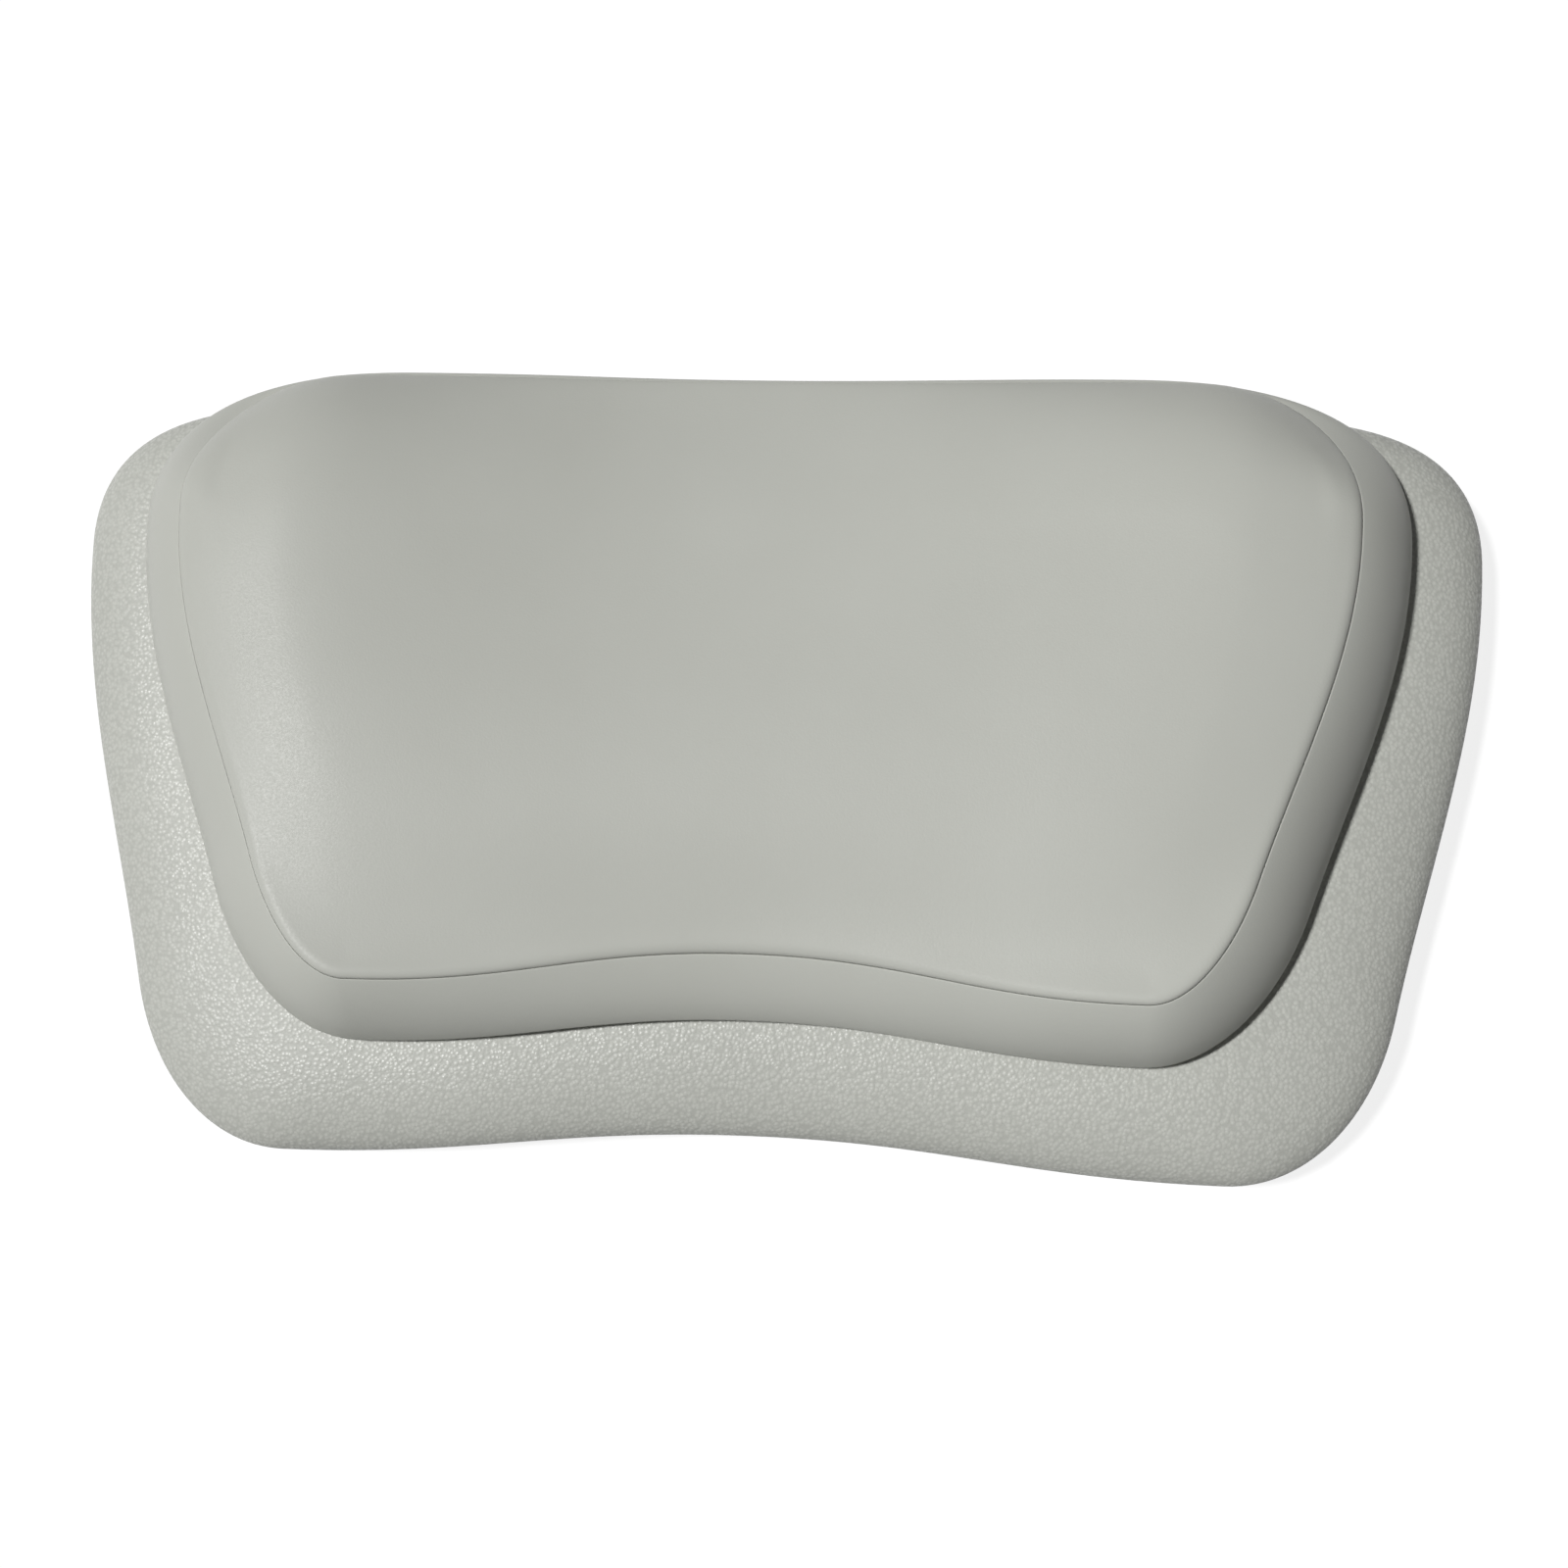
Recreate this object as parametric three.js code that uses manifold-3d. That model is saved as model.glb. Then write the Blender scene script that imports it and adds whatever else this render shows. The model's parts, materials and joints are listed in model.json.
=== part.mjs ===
// Bath pillow: a soft two-tier head cushion on a wide grained base pad. A stiff plate behind the pad
// carries four swivelling suction cups, and six screws through it clamp the cushion's board to the pad.
// Sizes are in millimetres. The pillow lies on its back: X is its width, Y points to its upper edge and
// Z out of its face. The origin is under its middle, on the surface that the suction cups hold.

import * as THREE from 'three';
import { mergeVertices } from 'three/addons/utils/BufferGeometryUtils.js';
import Module from 'manifold-3d';

const wasm = await Module();
wasm.setup();

// Clearances
const GAP = 0.3; // between pieces that touch
const SWIVEL_GAP = 0.5; // round a suction cup's neck and head
const CUT_MARGIN = 1; // how far a cutting body runs past the face that it opens

// Whole pillow, from the cushion's upper edge to the lowest points of the pad's lower edge
const PILLOW_DEPTH = 165.5;

// Base pad in plan
const BASE_WIDTH = 300;
const BASE_SETBACK = 5; // of its upper edge behind the cushion's
const BASE_WIDEST_DROP = 30; // from its upper edge down to where it is widest
const BASE_TOP_RUN = 220; // straight run of the upper edge
const BASE_HIP_WIDTH = 263.2; // between the lower ends of the leaning sides
const BASE_HIP_RISE = 34.5; // of those ends above the lowest points
const BASE_LEAN = 12.3; // of the sides at those ends, in degrees
const BASE_FOOT_RUN = 195; // between the lowest points of the lower edge
const BASE_ARCH = 6.4; // rise of the lower edge between those points

// Base pad in section
const RIM_UNDER = 5.5; // height of the rim's round underside, which is as wide
const FLANGE_RISE = 9.5; // of the domed flange, from the rim's girth to the cushion's foot

// Flange round the cushion: along the upper edge to the cushion's foot, elsewhere to its girth
const FLANGE_TOP = 1.5;
const FLANGE_SIDE = 17.1;
const FLANGE_HIP = 19.1;
const FLANGE_FRONT = 22.8;
const FLANGE_FOOT = 18; // sideways, between the lowest points of the pad and of the cushion

// Cushion in plan, at the girth of its side band
const CUSHION_WIDEST_DROP = 34;
const CUSHION_TOP_RUN = 152;
const CUSHION_TOP_DIP = 1; // fall of the upper edge at its middle
const CUSHION_HIP_RISE = 32;
const CUSHION_LEAN = 18.2;
const CUSHION_ARCH = 6.6;

// Side band in section
const BAND_TUCK = 4; // how far its foot is drawn in under the girth
const BAND_TUCK_RISE = 4;
const BAND_ROLL = 12.8; // from the girth in to the seam
const BAND_ROLL_TOP = 0.4; // the same along the upper edge
const BAND_ROLL_FOOT = 11.5; // the same at the lowest points
const BAND_RISE = 8.7; // from the girth up to the seam, at the middle of the lower edge
const BAND_RISE_TOP = 0.8; // the same along the upper edge, where the crown rolls over
const BAND_TURN = 55; // how far round the section turns from the girth to the seam, in degrees
const BAND_SHOULDER = 8.5; // ledge inside the seam that carries the crown pad
const SEAM_WIDTH = 0.6;
const SEAM_DEPTH = 3.4;
const SEAM_SWEEP = 7.5; // rise of the seam from the middle to the sides
const SEAM_TOP_RUN = 174; // straight run of the seam's upper edge
const RIM_LIFT = 1; // of the crown's rim over the band's ledge

// Crown pad
const CROWN_RISE = 5; // of its ridge above the seam, at the middle
const CROWN_THICKNESS = 8; // at the middle
const CRADLE_DEPTH = 7.3; // of the hollow between the two humps
const HUMP_SPAN = 194; // between the humps
const CROWN_RIDGE_DROP = 68; // from the crown's upper edge to its ridge
const CROWN_BOW = 2.5; // fall from the ridge to the crown's lower edge, and to its upper edge
const CROWN_ROLL = 19; // width of its rounded margin
const CROWN_ROLL_TOP = 36;
const CROWN_ROLL_FOOT = 15;

// Foam core
const CORE_LEAST = 1.5; // thickness along the upper edge

// Inner board and its threaded inserts
const BOARD_THICKNESS = 5;
const INSERT_RADIUS = 3.2;
const INSERT_FLANGE_RADIUS = 7;
const INSERT_FLANGE_THICKNESS = 1.2;

// Backing plate
const PLATE_MARGIN = 22; // from the pad's edge to the plate's
const PLATE_THICKNESS = 3;
const RIB_WIDTH = 3;
const RIB_HEIGHT = 2;
const RIB_SPREAD = 44; // between the two upright ribs

// Clamp screws
const SCREW_RADIUS = 2;
const SCREW_HEAD_RADIUS = 4;
const SCREW_HEAD_HEIGHT = 2.4;
const SCREW_EDGE = 14; // from the nearer edge of board or plate to a row of screws
const SCREW_SPREAD_TOP = 46; // between neighbours in the upper row
const SCREW_SPREAD_LOW = 36; // between neighbours in the lower row
const SCREW_SHORT = 0.8; // how far a tip stays below the top of its insert
const DRIVE_LENGTH = 4.6; // of each slot in the cross drive
const DRIVE_WIDTH = 1;
const DRIVE_DEPTH = 1.4;

// Suction cups
const CUP_STANDOFF = 10; // height of the pad's back over the surface that the cups hold
const CUP_RADIUS = 22.5;
const CUP_LIP = 2; // width of the flat ring that seals
const CUP_LIP_HEIGHT = 0.9;
const CUP_SHOULDER_RADIUS = 9.5;
const CUP_SHOULDER_SLOPE = 0.7; // fall of the shoulder towards its edge
const CUP_HOLLOW_DEPTH = 7.2;
const CUP_HOLLOW_DOME = 0.6; // rise of the hollow's roof towards its middle
const CUP_NECK_RADIUS = 4.5;
const CUP_HEAD_RADIUS = 6.8;
const CUP_HEAD_HEIGHT = 4.2;
const CUP_HEAD_TAPER = 1.6;
const CUP_TAB_WIDTH = 8;
const CUP_TAB_LENGTH = 6; // beyond the lip
const CUP_TAB_THICKNESS = 1.2;
const CUP_TAB_LIFT = 0.4; // its underside over the surface that the cup holds
const UPPER_CUP_EDGE = 40; // from the plate's side, where it is widest
const UPPER_CUP_DROP = 45.75; // below the pad's upper edge
const LOWER_CUP_EDGE = 62; // the same for the lower pair
const LOWER_CUP_RISE = 44.75; // above the lowest points of the pad's lower edge

// How full the curves of an outline are: 0 is a straight cut, 1 a sharp corner
const SHOULDER_FULLNESS = 0.66;
const SIDE_FULLNESS = 0.35;
const CORNER_FULLNESS = 0.6;
const WAVE_FULLNESS = 0.42;

// Steps along each stretch of an outline, and round a turned piece
const WAVE_STEPS = 6;
const CORNER_STEPS = 8;
const SIDE_STEPS = 5;
const SHOULDER_STEPS = 8;
const ROUND_STEPS = 20;
const SMALL_ROUND_STEPS = 12;

// Heights
const backZ = CUP_STANDOFF;
const rimZ = backZ + RIM_UNDER;
const seatZ = rimZ + FLANGE_RISE;
const bandFootZ = seatZ + GAP;
const bandGirthZ = bandFootZ + BAND_TUCK_RISE;
const seamZ = bandGirthZ + BAND_RISE;
const crownUnderZ = seamZ + CROWN_RISE - CROWN_THICKNESS;
const boardZ = seatZ + GAP;
const boardTopZ = boardZ + BOARD_THICKNESS;
const coreZ = boardTopZ + GAP;
const plateTopZ = backZ + PLATE_THICKNESS;
const recessZ = plateTopZ + GAP;
const cupHeadZ = plateTopZ + GAP;

// Upper and lower edges in plan
const cushionTopY = PILLOW_DEPTH / 2;
const baseTopY = cushionTopY - BASE_SETBACK;
const baseFootY = -PILLOW_DEPTH / 2;
const cushionFootY = baseFootY + FLANGE_FRONT;

// Outlines by the points where their curves meet, for the right half
const baseOutline = {
  topX: BASE_TOP_RUN / 2,
  topY: baseTopY,
  topMidY: baseTopY,
  wideX: BASE_WIDTH / 2,
  wideY: baseTopY - BASE_WIDEST_DROP,
  hipX: BASE_HIP_WIDTH / 2,
  hipY: baseFootY + BASE_HIP_RISE,
  lean: THREE.MathUtils.degToRad(BASE_LEAN),
  footX: BASE_FOOT_RUN / 2,
  footY: baseFootY,
  footMidY: baseFootY + BASE_ARCH,
};

const cushionOutline = {
  topX: CUSHION_TOP_RUN / 2,
  topY: cushionTopY,
  topMidY: cushionTopY - CUSHION_TOP_DIP,
  wideX: baseOutline.wideX - FLANGE_SIDE,
  wideY: cushionTopY - CUSHION_WIDEST_DROP,
  hipX: baseOutline.hipX - FLANGE_HIP,
  hipY: cushionFootY + CUSHION_HIP_RISE,
  lean: THREE.MathUtils.degToRad(CUSHION_LEAN),
  footX: baseOutline.footX - FLANGE_FOOT,
  footY: cushionFootY,
  footMidY: cushionFootY + CUSHION_ARCH,
};

// The outline moved inwards, by a distance of its own along the upper edge
function inset(shape, distance, topDistance = distance) {
  return {
    ...shape,
    topY: shape.topY - topDistance,
    topMidY: shape.topMidY - topDistance,
    wideX: shape.wideX - distance,
    hipX: shape.hipX - distance * Math.cos(shape.lean),
    hipY: shape.hipY + distance * Math.sin(shape.lean),
    footY: shape.footY + distance,
    footMidY: shape.footMidY + distance,
  };
}

// A curve between two points, drawn towards a handle point for each of them
function bend(start, startHandle, endHandle, end) {
  return new THREE.CubicBezierCurve(start, startHandle, endHandle, end);
}

// A gentle wave between two points, level at both ends
function wave(start, end) {
  const reach = (end.x - start.x) * WAVE_FULLNESS;
  const startHandle = new THREE.Vector2(start.x + reach, start.y);
  const endHandle = new THREE.Vector2(end.x - reach, end.y);
  return bend(start, startHandle, endHandle, end);
}

// The outline's points, anticlockwise from the middle of the lower edge
function outlinePoints(shape) {
  const footMid = new THREE.Vector2(0, shape.footMidY);
  const foot = new THREE.Vector2(shape.footX, shape.footY);
  const hip = new THREE.Vector2(shape.hipX, shape.hipY);
  const wide = new THREE.Vector2(shape.wideX, shape.wideY);
  const top = new THREE.Vector2(shape.topX, shape.topY);
  const topMid = new THREE.Vector2(0, shape.topMidY);

  const cornerX = hip.x - (hip.y - foot.y) * Math.tan(shape.lean);
  const corner = new THREE.Vector2(cornerX, foot.y);
  const footHandle = foot.clone().lerp(corner, CORNER_FULLNESS);
  const hipHandle = hip.clone().lerp(corner, CORNER_FULLNESS);

  const sideReach = hip.distanceTo(wide) * SIDE_FULLNESS;
  const upTheLean = new THREE.Vector2(Math.sin(shape.lean), Math.cos(shape.lean));
  const sideStart = hip.clone().addScaledVector(upTheLean, sideReach);
  const sideEnd = new THREE.Vector2(wide.x, wide.y - sideReach);

  const shoulder = new THREE.Vector2(wide.x, top.y);
  const wideHandle = wide.clone().lerp(shoulder, SHOULDER_FULLNESS);
  const topHandle = top.clone().lerp(shoulder, SHOULDER_FULLNESS);

  const right = [
    ...wave(footMid, foot).getPoints(WAVE_STEPS),
    ...bend(foot, footHandle, hipHandle, hip).getPoints(CORNER_STEPS).slice(1),
    ...bend(hip, sideStart, sideEnd, wide).getPoints(SIDE_STEPS).slice(1),
    ...bend(wide, wideHandle, topHandle, top).getPoints(SHOULDER_STEPS).slice(1),
    ...wave(top, topMid).getPoints(WAVE_STEPS).slice(1),
  ];
  const left = right.slice(1, -1).reverse().map((p) => new THREE.Vector2(-p.x, p.y));
  return [...right, ...left];
}

// A ring on an outline, at one height or at a height for each point
function ringAt(points, z) {
  return points.map((p, i) => new THREE.Vector3(p.x, p.y, Array.isArray(z) ? z[i] : z));
}

// A ring part of the way between two rings in plan, at its own height
function ringBetween(outer, inner, share, z) {
  return outer.map((p, i) => new THREE.Vector3().copy(p).lerp(inner[i], share).setZ(z));
}

function middleOf(ring) {
  const box = new THREE.Box3().setFromPoints(ring);
  return box.getCenter(new THREE.Vector3());
}

function pushQuads(faces, count, low, high) {
  for (let i = 0; i < count; i += 1) {
    const next = (i + 1) % count;
    faces.push(low + i, low + next, high + next);
    faces.push(low + i, high + next, high + i);
  }
}

function surface(points, faces) {
  const geometry = new THREE.BufferGeometry().setFromPoints(points);
  geometry.setIndex(faces);
  return geometry;
}

// A body through rings from the lowest up, closed by a fan of triangles at each end
function loft(rings, topPoint = middleOf(rings.at(-1)), bottomPoint = middleOf(rings[0])) {
  const count = rings[0].length;
  const points = [...rings.flat(), bottomPoint, topPoint];
  const bottom = points.length - 2;
  const top = points.length - 1;
  const lastRing = (rings.length - 1) * count;
  const faces = [];
  for (let r = 0; r < rings.length - 1; r += 1) {
    pushQuads(faces, count, r * count, (r + 1) * count);
  }
  for (let i = 0; i < count; i += 1) {
    const next = (i + 1) % count;
    faces.push(bottom, next, i);
    faces.push(top, lastRing + i, lastRing + next);
  }
  return surface(points, faces);
}

// A hoop through rings that go up its outside and down its inside
function hoop(rings) {
  const count = rings[0].length;
  const faces = [];
  rings.forEach((ring, r) => {
    pushQuads(faces, count, r * count, ((r + 1) % rings.length) * count);
  });
  return surface(rings.flat(), faces);
}

function slab(points, lowZ, highZ) {
  return loft([ringAt(points, lowZ), ringAt(points, highZ)]);
}

// A turned piece on the Z axis from points of radius and height
function turned(profile, steps) {
  const points = profile.map(([radius, z]) => new THREE.Vector2(radius, z));
  return new THREE.LatheGeometry(points, steps).rotateX(Math.PI / 2);
}

function rod(radius, lowZ, highZ, steps = SMALL_ROUND_STEPS) {
  const rodGeometry = new THREE.CylinderGeometry(radius, radius, highZ - lowZ, steps);
  return rodGeometry.rotateX(Math.PI / 2).translate(0, 0, (lowZ + highZ) / 2);
}

function block(width, depth, lowZ, highZ) {
  const height = highZ - lowZ;
  return new THREE.BoxGeometry(width, depth, height).translate(0, 0, lowZ + height / 2);
}

function toSolid(geometry) {
  const bare = geometry.clone();
  bare.deleteAttribute('normal');
  bare.deleteAttribute('uv');
  const merged = mergeVertices(bare);
  const mesh = new wasm.Mesh({
    numProp: 3,
    vertProperties: new Float32Array(merged.attributes.position.array),
    triVerts: new Uint32Array(merged.index.array),
  });
  return new wasm.Manifold(mesh);
}

function toGeometry(solid) {
  const mesh = solid.getMesh();
  const geometry = new THREE.BufferGeometry();
  geometry.setAttribute('position', new THREE.BufferAttribute(mesh.vertProperties, 3));
  geometry.setIndex(new THREE.BufferAttribute(mesh.triVerts, 1));
  return geometry;
}

function joined(geometry, additions) {
  return toGeometry(additions.reduce((solid, added) => solid.add(toSolid(added)), toSolid(geometry)));
}

function cut(geometry, tools) {
  return toGeometry(tools.reduce((solid, tool) => solid.subtract(toSolid(tool)), toSolid(geometry)));
}

function movedTo(geometry, place) {
  return geometry.clone().translate(place.x, place.y, 0);
}

// Angles from 0 to a quarter turn
function quarterTurn(steps) {
  return Array.from({ length: steps + 1 }, (_, i) => ((i / steps) * Math.PI) / 2);
}

// The cushion's outline part of the way from its girth to the seam
function rolledIn(share) {
  const shape = inset(cushionOutline, BAND_ROLL * share, BAND_ROLL_TOP * share);
  return {
    ...shape,
    topX: THREE.MathUtils.lerp(CUSHION_TOP_RUN, SEAM_TOP_RUN, share) / 2,
    footY: cushionFootY + BAND_ROLL_FOOT * share,
  };
}

// Outlines that several pieces share
const bandTuckTop = BASE_SETBACK + FLANGE_TOP;
const bandFootOutline = inset(cushionOutline, BAND_TUCK, bandTuckTop);
const seamOutline = rolledIn(1);
const bandInnerOutline = inset(seamOutline, BAND_SHOULDER);
const boardOutline = inset(bandInnerOutline, GAP);
const crownOutline = inset(seamOutline, SEAM_WIDTH);
const plateOutline = inset(baseOutline, PLATE_MARGIN);
const recessOutline = inset(plateOutline, -GAP);

// How far a place has come from the cradle's middle, 0, up to a hump, 1
function cradleSweep(x) {
  const across = Math.min(1, Math.abs(x) / (HUMP_SPAN / 2));
  return (4 * across ** 2 - across ** 8) / 3;
}

// The seam's height at each point of an outline: it sweeps up to the sides and falls along the upper edge
const seamHeights = outlinePoints(seamOutline).map((p) => {
  const nearTop = THREE.MathUtils.smoothstep(p.y, seamOutline.wideY, seamOutline.topMidY);
  return THREE.MathUtils.lerp(seamZ + SEAM_SWEEP * cradleSweep(p.x), bandGirthZ + BAND_RISE_TOP, nearTop);
});
// The band's ledge under the crown, at the seam and at the ledge's inner edge, where it clears the core
const ledgeHeights = seamHeights.map((z) => z - SEAM_DEPTH);
const innerLedgeHeights = ledgeHeights.map((z) => Math.max(z, coreZ + CORE_LEAST));
const crownMiddleY = (crownOutline.topMidY + crownOutline.footMidY) / 2;

// Places of the screws and cups
const screwTopY = Math.min(boardOutline.topMidY, plateOutline.topMidY) - SCREW_EDGE;
const screwLowY = Math.max(boardOutline.footMidY, plateOutline.footMidY) + SCREW_EDGE;
const screwPlaces = [
  ...[-1, 0, 1].map((side) => new THREE.Vector2(side * SCREW_SPREAD_TOP, screwTopY)),
  ...[-1, 0, 1].map((side) => new THREE.Vector2(side * SCREW_SPREAD_LOW, screwLowY)),
];
const upperCupY = baseOutline.topY - UPPER_CUP_DROP;
const lowerCupY = baseOutline.footY + LOWER_CUP_RISE;
const upperCupX = plateOutline.wideX - UPPER_CUP_EDGE;
const lowerCupX = plateOutline.wideX - LOWER_CUP_EDGE;
const cupPlaces = [
  new THREE.Vector2(-upperCupX, upperCupY),
  new THREE.Vector2(upperCupX, upperCupY),
  new THREE.Vector2(-lowerCupX, lowerCupY),
  new THREE.Vector2(lowerCupX, lowerCupY),
];

// Base pad: round rim, domed flange and a flat seat, hollowed behind for the plate, cups and screws
function makeBasePad() {
  const girth = ringAt(outlinePoints(baseOutline), rimZ);
  const seat = ringAt(outlinePoints(bandFootOutline), seatZ);
  const underSteps = 3;
  const flangeSteps = 6;
  const under = quarterTurn(underSteps)
    .slice(1)
    .reverse()
    .map((angle) => {
      const drawnIn = inset(baseOutline, RIM_UNDER * (1 - Math.cos(angle)));
      return ringAt(outlinePoints(drawnIn), rimZ - RIM_UNDER * Math.sin(angle));
    });
  const flange = quarterTurn(flangeSteps).map((angle) => {
    const share = 1 - Math.cos(angle);
    return ringBetween(girth, seat, share, rimZ + FLANGE_RISE * Math.sin(angle));
  });
  const recess = slab(outlinePoints(recessOutline), backZ - CUT_MARGIN, recessZ);
  const headTop = cupHeadZ + CUP_HEAD_HEIGHT + SWIVEL_GAP;
  const headPocket = rod(CUP_HEAD_RADIUS + SWIVEL_GAP, backZ, headTop, ROUND_STEPS);
  const screwHole = rod(SCREW_RADIUS + GAP, backZ, seatZ + CUT_MARGIN);
  return cut(loft([...under, ...flange]), [
    recess,
    ...cupPlaces.map((place) => movedTo(headPocket, place)),
    ...screwPlaces.map((place) => movedTo(screwHole, place)),
  ]);
}

// Side band: a soft hoop, drawn in at its foot and rolled over to the seam, with a ledge for the crown
function makeSideBand() {
  const tuckSteps = 3;
  const rollSteps = 6;
  const tuck = quarterTurn(tuckSteps).map((angle) => {
    const share = 1 - Math.sin(angle);
    const drawnIn = inset(cushionOutline, BAND_TUCK * share, bandTuckTop * share);
    return ringAt(outlinePoints(drawnIn), bandGirthZ - BAND_TUCK_RISE * Math.cos(angle));
  });
  const turn = THREE.MathUtils.degToRad(BAND_TURN);
  const roll = Array.from({ length: rollSteps }, (_, step) => {
    const angle = (turn * (step + 1)) / rollSteps;
    const inward = (1 - Math.cos(angle)) / (1 - Math.cos(turn));
    const upward = Math.sin(angle) / Math.sin(turn);
    const heights = seamHeights.map((z) => THREE.MathUtils.lerp(bandGirthZ, z, upward));
    return ringAt(outlinePoints(rolledIn(inward)), heights);
  });
  return hoop([
    ...tuck,
    ...roll,
    ringAt(outlinePoints(seamOutline), ledgeHeights),
    ringAt(outlinePoints(bandInnerOutline), innerLedgeHeights),
    ringAt(outlinePoints(bandInnerOutline), bandFootZ),
  ]);
}

// Height of the crown before its margin is rolled down: two humps, a cradle between them and a bow
function crownHeight(x, y) {
  const ridgeY = crownOutline.topY - CROWN_RIDGE_DROP;
  const reach = y > ridgeY ? CROWN_RIDGE_DROP : ridgeY - crownOutline.footMidY;
  const bow = CROWN_BOW * ((y - ridgeY) / reach) ** 2;
  return seamZ + CROWN_RISE + CRADLE_DEPTH * cradleSweep(x) - bow;
}

// Width of the crown's rounded margin at a point of its edge
function crownRollWidth(point) {
  const nearTop = THREE.MathUtils.smoothstep(point.y, crownOutline.wideY, crownOutline.topMidY);
  const nearFoot = THREE.MathUtils.smoothstep(-point.y, -crownOutline.hipY, -crownOutline.footMidY);
  const sideToTop = THREE.MathUtils.lerp(CROWN_ROLL, CROWN_ROLL_TOP, nearTop);
  return THREE.MathUtils.lerp(sideToTop, CROWN_ROLL_FOOT, nearFoot);
}

// Crown pad: a cradle-shaped pad with a rounded margin, wide along its upper edge
function makeCrownPad() {
  const edge = outlinePoints(crownOutline);
  const ringShares = [0.012, 0.04, 0.09, 0.16, 0.26, 0.38, 0.53, 0.75];
  const domeRings = ringShares.map((share) =>
    edge.map((p, i) => {
      const x = p.x * (1 - share);
      const y = THREE.MathUtils.lerp(p.y, crownMiddleY, share);
      const inward = Math.min(1, Math.hypot(p.x - x, p.y - y) / crownRollWidth(p));
      const nearTop = THREE.MathUtils.smoothstep(p.y, crownOutline.wideY, crownOutline.topMidY);
      const rolled = 1 - (1 - inward) ** 2;
      const rolledOver = Math.sqrt(rolled);
      const z = THREE.MathUtils.lerp(
        seamHeights[i],
        crownHeight(x, y),
        THREE.MathUtils.lerp(rolled, rolledOver, nearTop),
      );
      return new THREE.Vector3(x, y, z);
    }),
  );
  const rings = [
    ringAt(outlinePoints(bandInnerOutline), innerLedgeHeights.map((z) => z + RIM_LIFT)),
    ringAt(edge, ledgeHeights.map((z) => z + RIM_LIFT)),
    ringAt(edge, seamHeights),
    ...domeRings,
  ];
  const peak = new THREE.Vector3(0, crownMiddleY, crownHeight(0, crownMiddleY));
  return loft(rings, peak, new THREE.Vector3(0, crownMiddleY, crownUnderZ));
}

// Foam core: fills the band between the board and the crown pad
function makeFoamCore() {
  const outline = outlinePoints(boardOutline);
  const peak = new THREE.Vector3(0, crownMiddleY, crownUnderZ - GAP);
  return loft([ringAt(outline, coreZ), ringAt(outline, innerLedgeHeights)], peak);
}

// Cushion board: stiffens the cushion's underside and holds the threaded inserts
function makeCushionBoard() {
  const barrelHole = rod(INSERT_RADIUS + GAP, boardZ - CUT_MARGIN, boardTopZ + CUT_MARGIN);
  const flangeSeatZ = boardTopZ - INSERT_FLANGE_THICKNESS - GAP;
  const flangeSeat = rod(INSERT_FLANGE_RADIUS + GAP, flangeSeatZ, boardTopZ + CUT_MARGIN);
  return cut(slab(outlinePoints(boardOutline), boardZ, boardTopZ), [
    ...screwPlaces.map((place) => movedTo(barrelHole, place)),
    ...screwPlaces.map((place) => movedTo(flangeSeat, place)),
  ]);
}

// Threaded insert: a flanged sleeve, pressed in from above
function makeThreadedInsert() {
  const bore = SCREW_RADIUS + GAP;
  const flangeZ = boardTopZ - INSERT_FLANGE_THICKNESS;
  return turned(
    [
      [bore, boardZ],
      [INSERT_RADIUS, boardZ],
      [INSERT_RADIUS, flangeZ],
      [INSERT_FLANGE_RADIUS, flangeZ],
      [INSERT_FLANGE_RADIUS, boardTopZ],
      [bore, boardTopZ],
      [bore, boardZ],
    ],
    SMALL_ROUND_STEPS,
  );
}

// Backing plate: a stiff sheet let into the pad's back, with a border and ribs on its outer face
function makeBackingPlate() {
  const ribZ = backZ - RIB_HEIGHT;
  const inner = inset(plateOutline, RIB_WIDTH);
  const hollow = slab(outlinePoints(inner), ribZ - CUT_MARGIN, backZ);
  const tray = cut(slab(outlinePoints(plateOutline), ribZ, plateTopZ), [hollow]);
  const uprightLength = plateOutline.topMidY - plateOutline.footMidY - RIB_WIDTH;
  const uprightY = (plateOutline.topMidY + plateOutline.footMidY) / 2;
  const upright = block(RIB_WIDTH, uprightLength, ribZ, backZ + PLATE_THICKNESS / 2);
  const crossY = (upperCupY + lowerCupY) / 2;
  const cross = block(plateOutline.hipX * 2, RIB_WIDTH, ribZ, backZ + PLATE_THICKNESS / 2);
  const neckHole = rod(CUP_NECK_RADIUS + SWIVEL_GAP, ribZ, recessZ, ROUND_STEPS);
  const screwHole = rod(SCREW_RADIUS + GAP, ribZ, recessZ);
  const ribbed = joined(tray, [
    ...[-1, 1].map((side) => upright.clone().translate((side * RIB_SPREAD) / 2, uprightY, 0)),
    cross.translate(0, crossY, 0),
  ]);
  return cut(ribbed, [
    ...cupPlaces.map((place) => movedTo(neckHole, place)),
    ...screwPlaces.map((place) => movedTo(screwHole, place)),
  ]);
}

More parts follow.
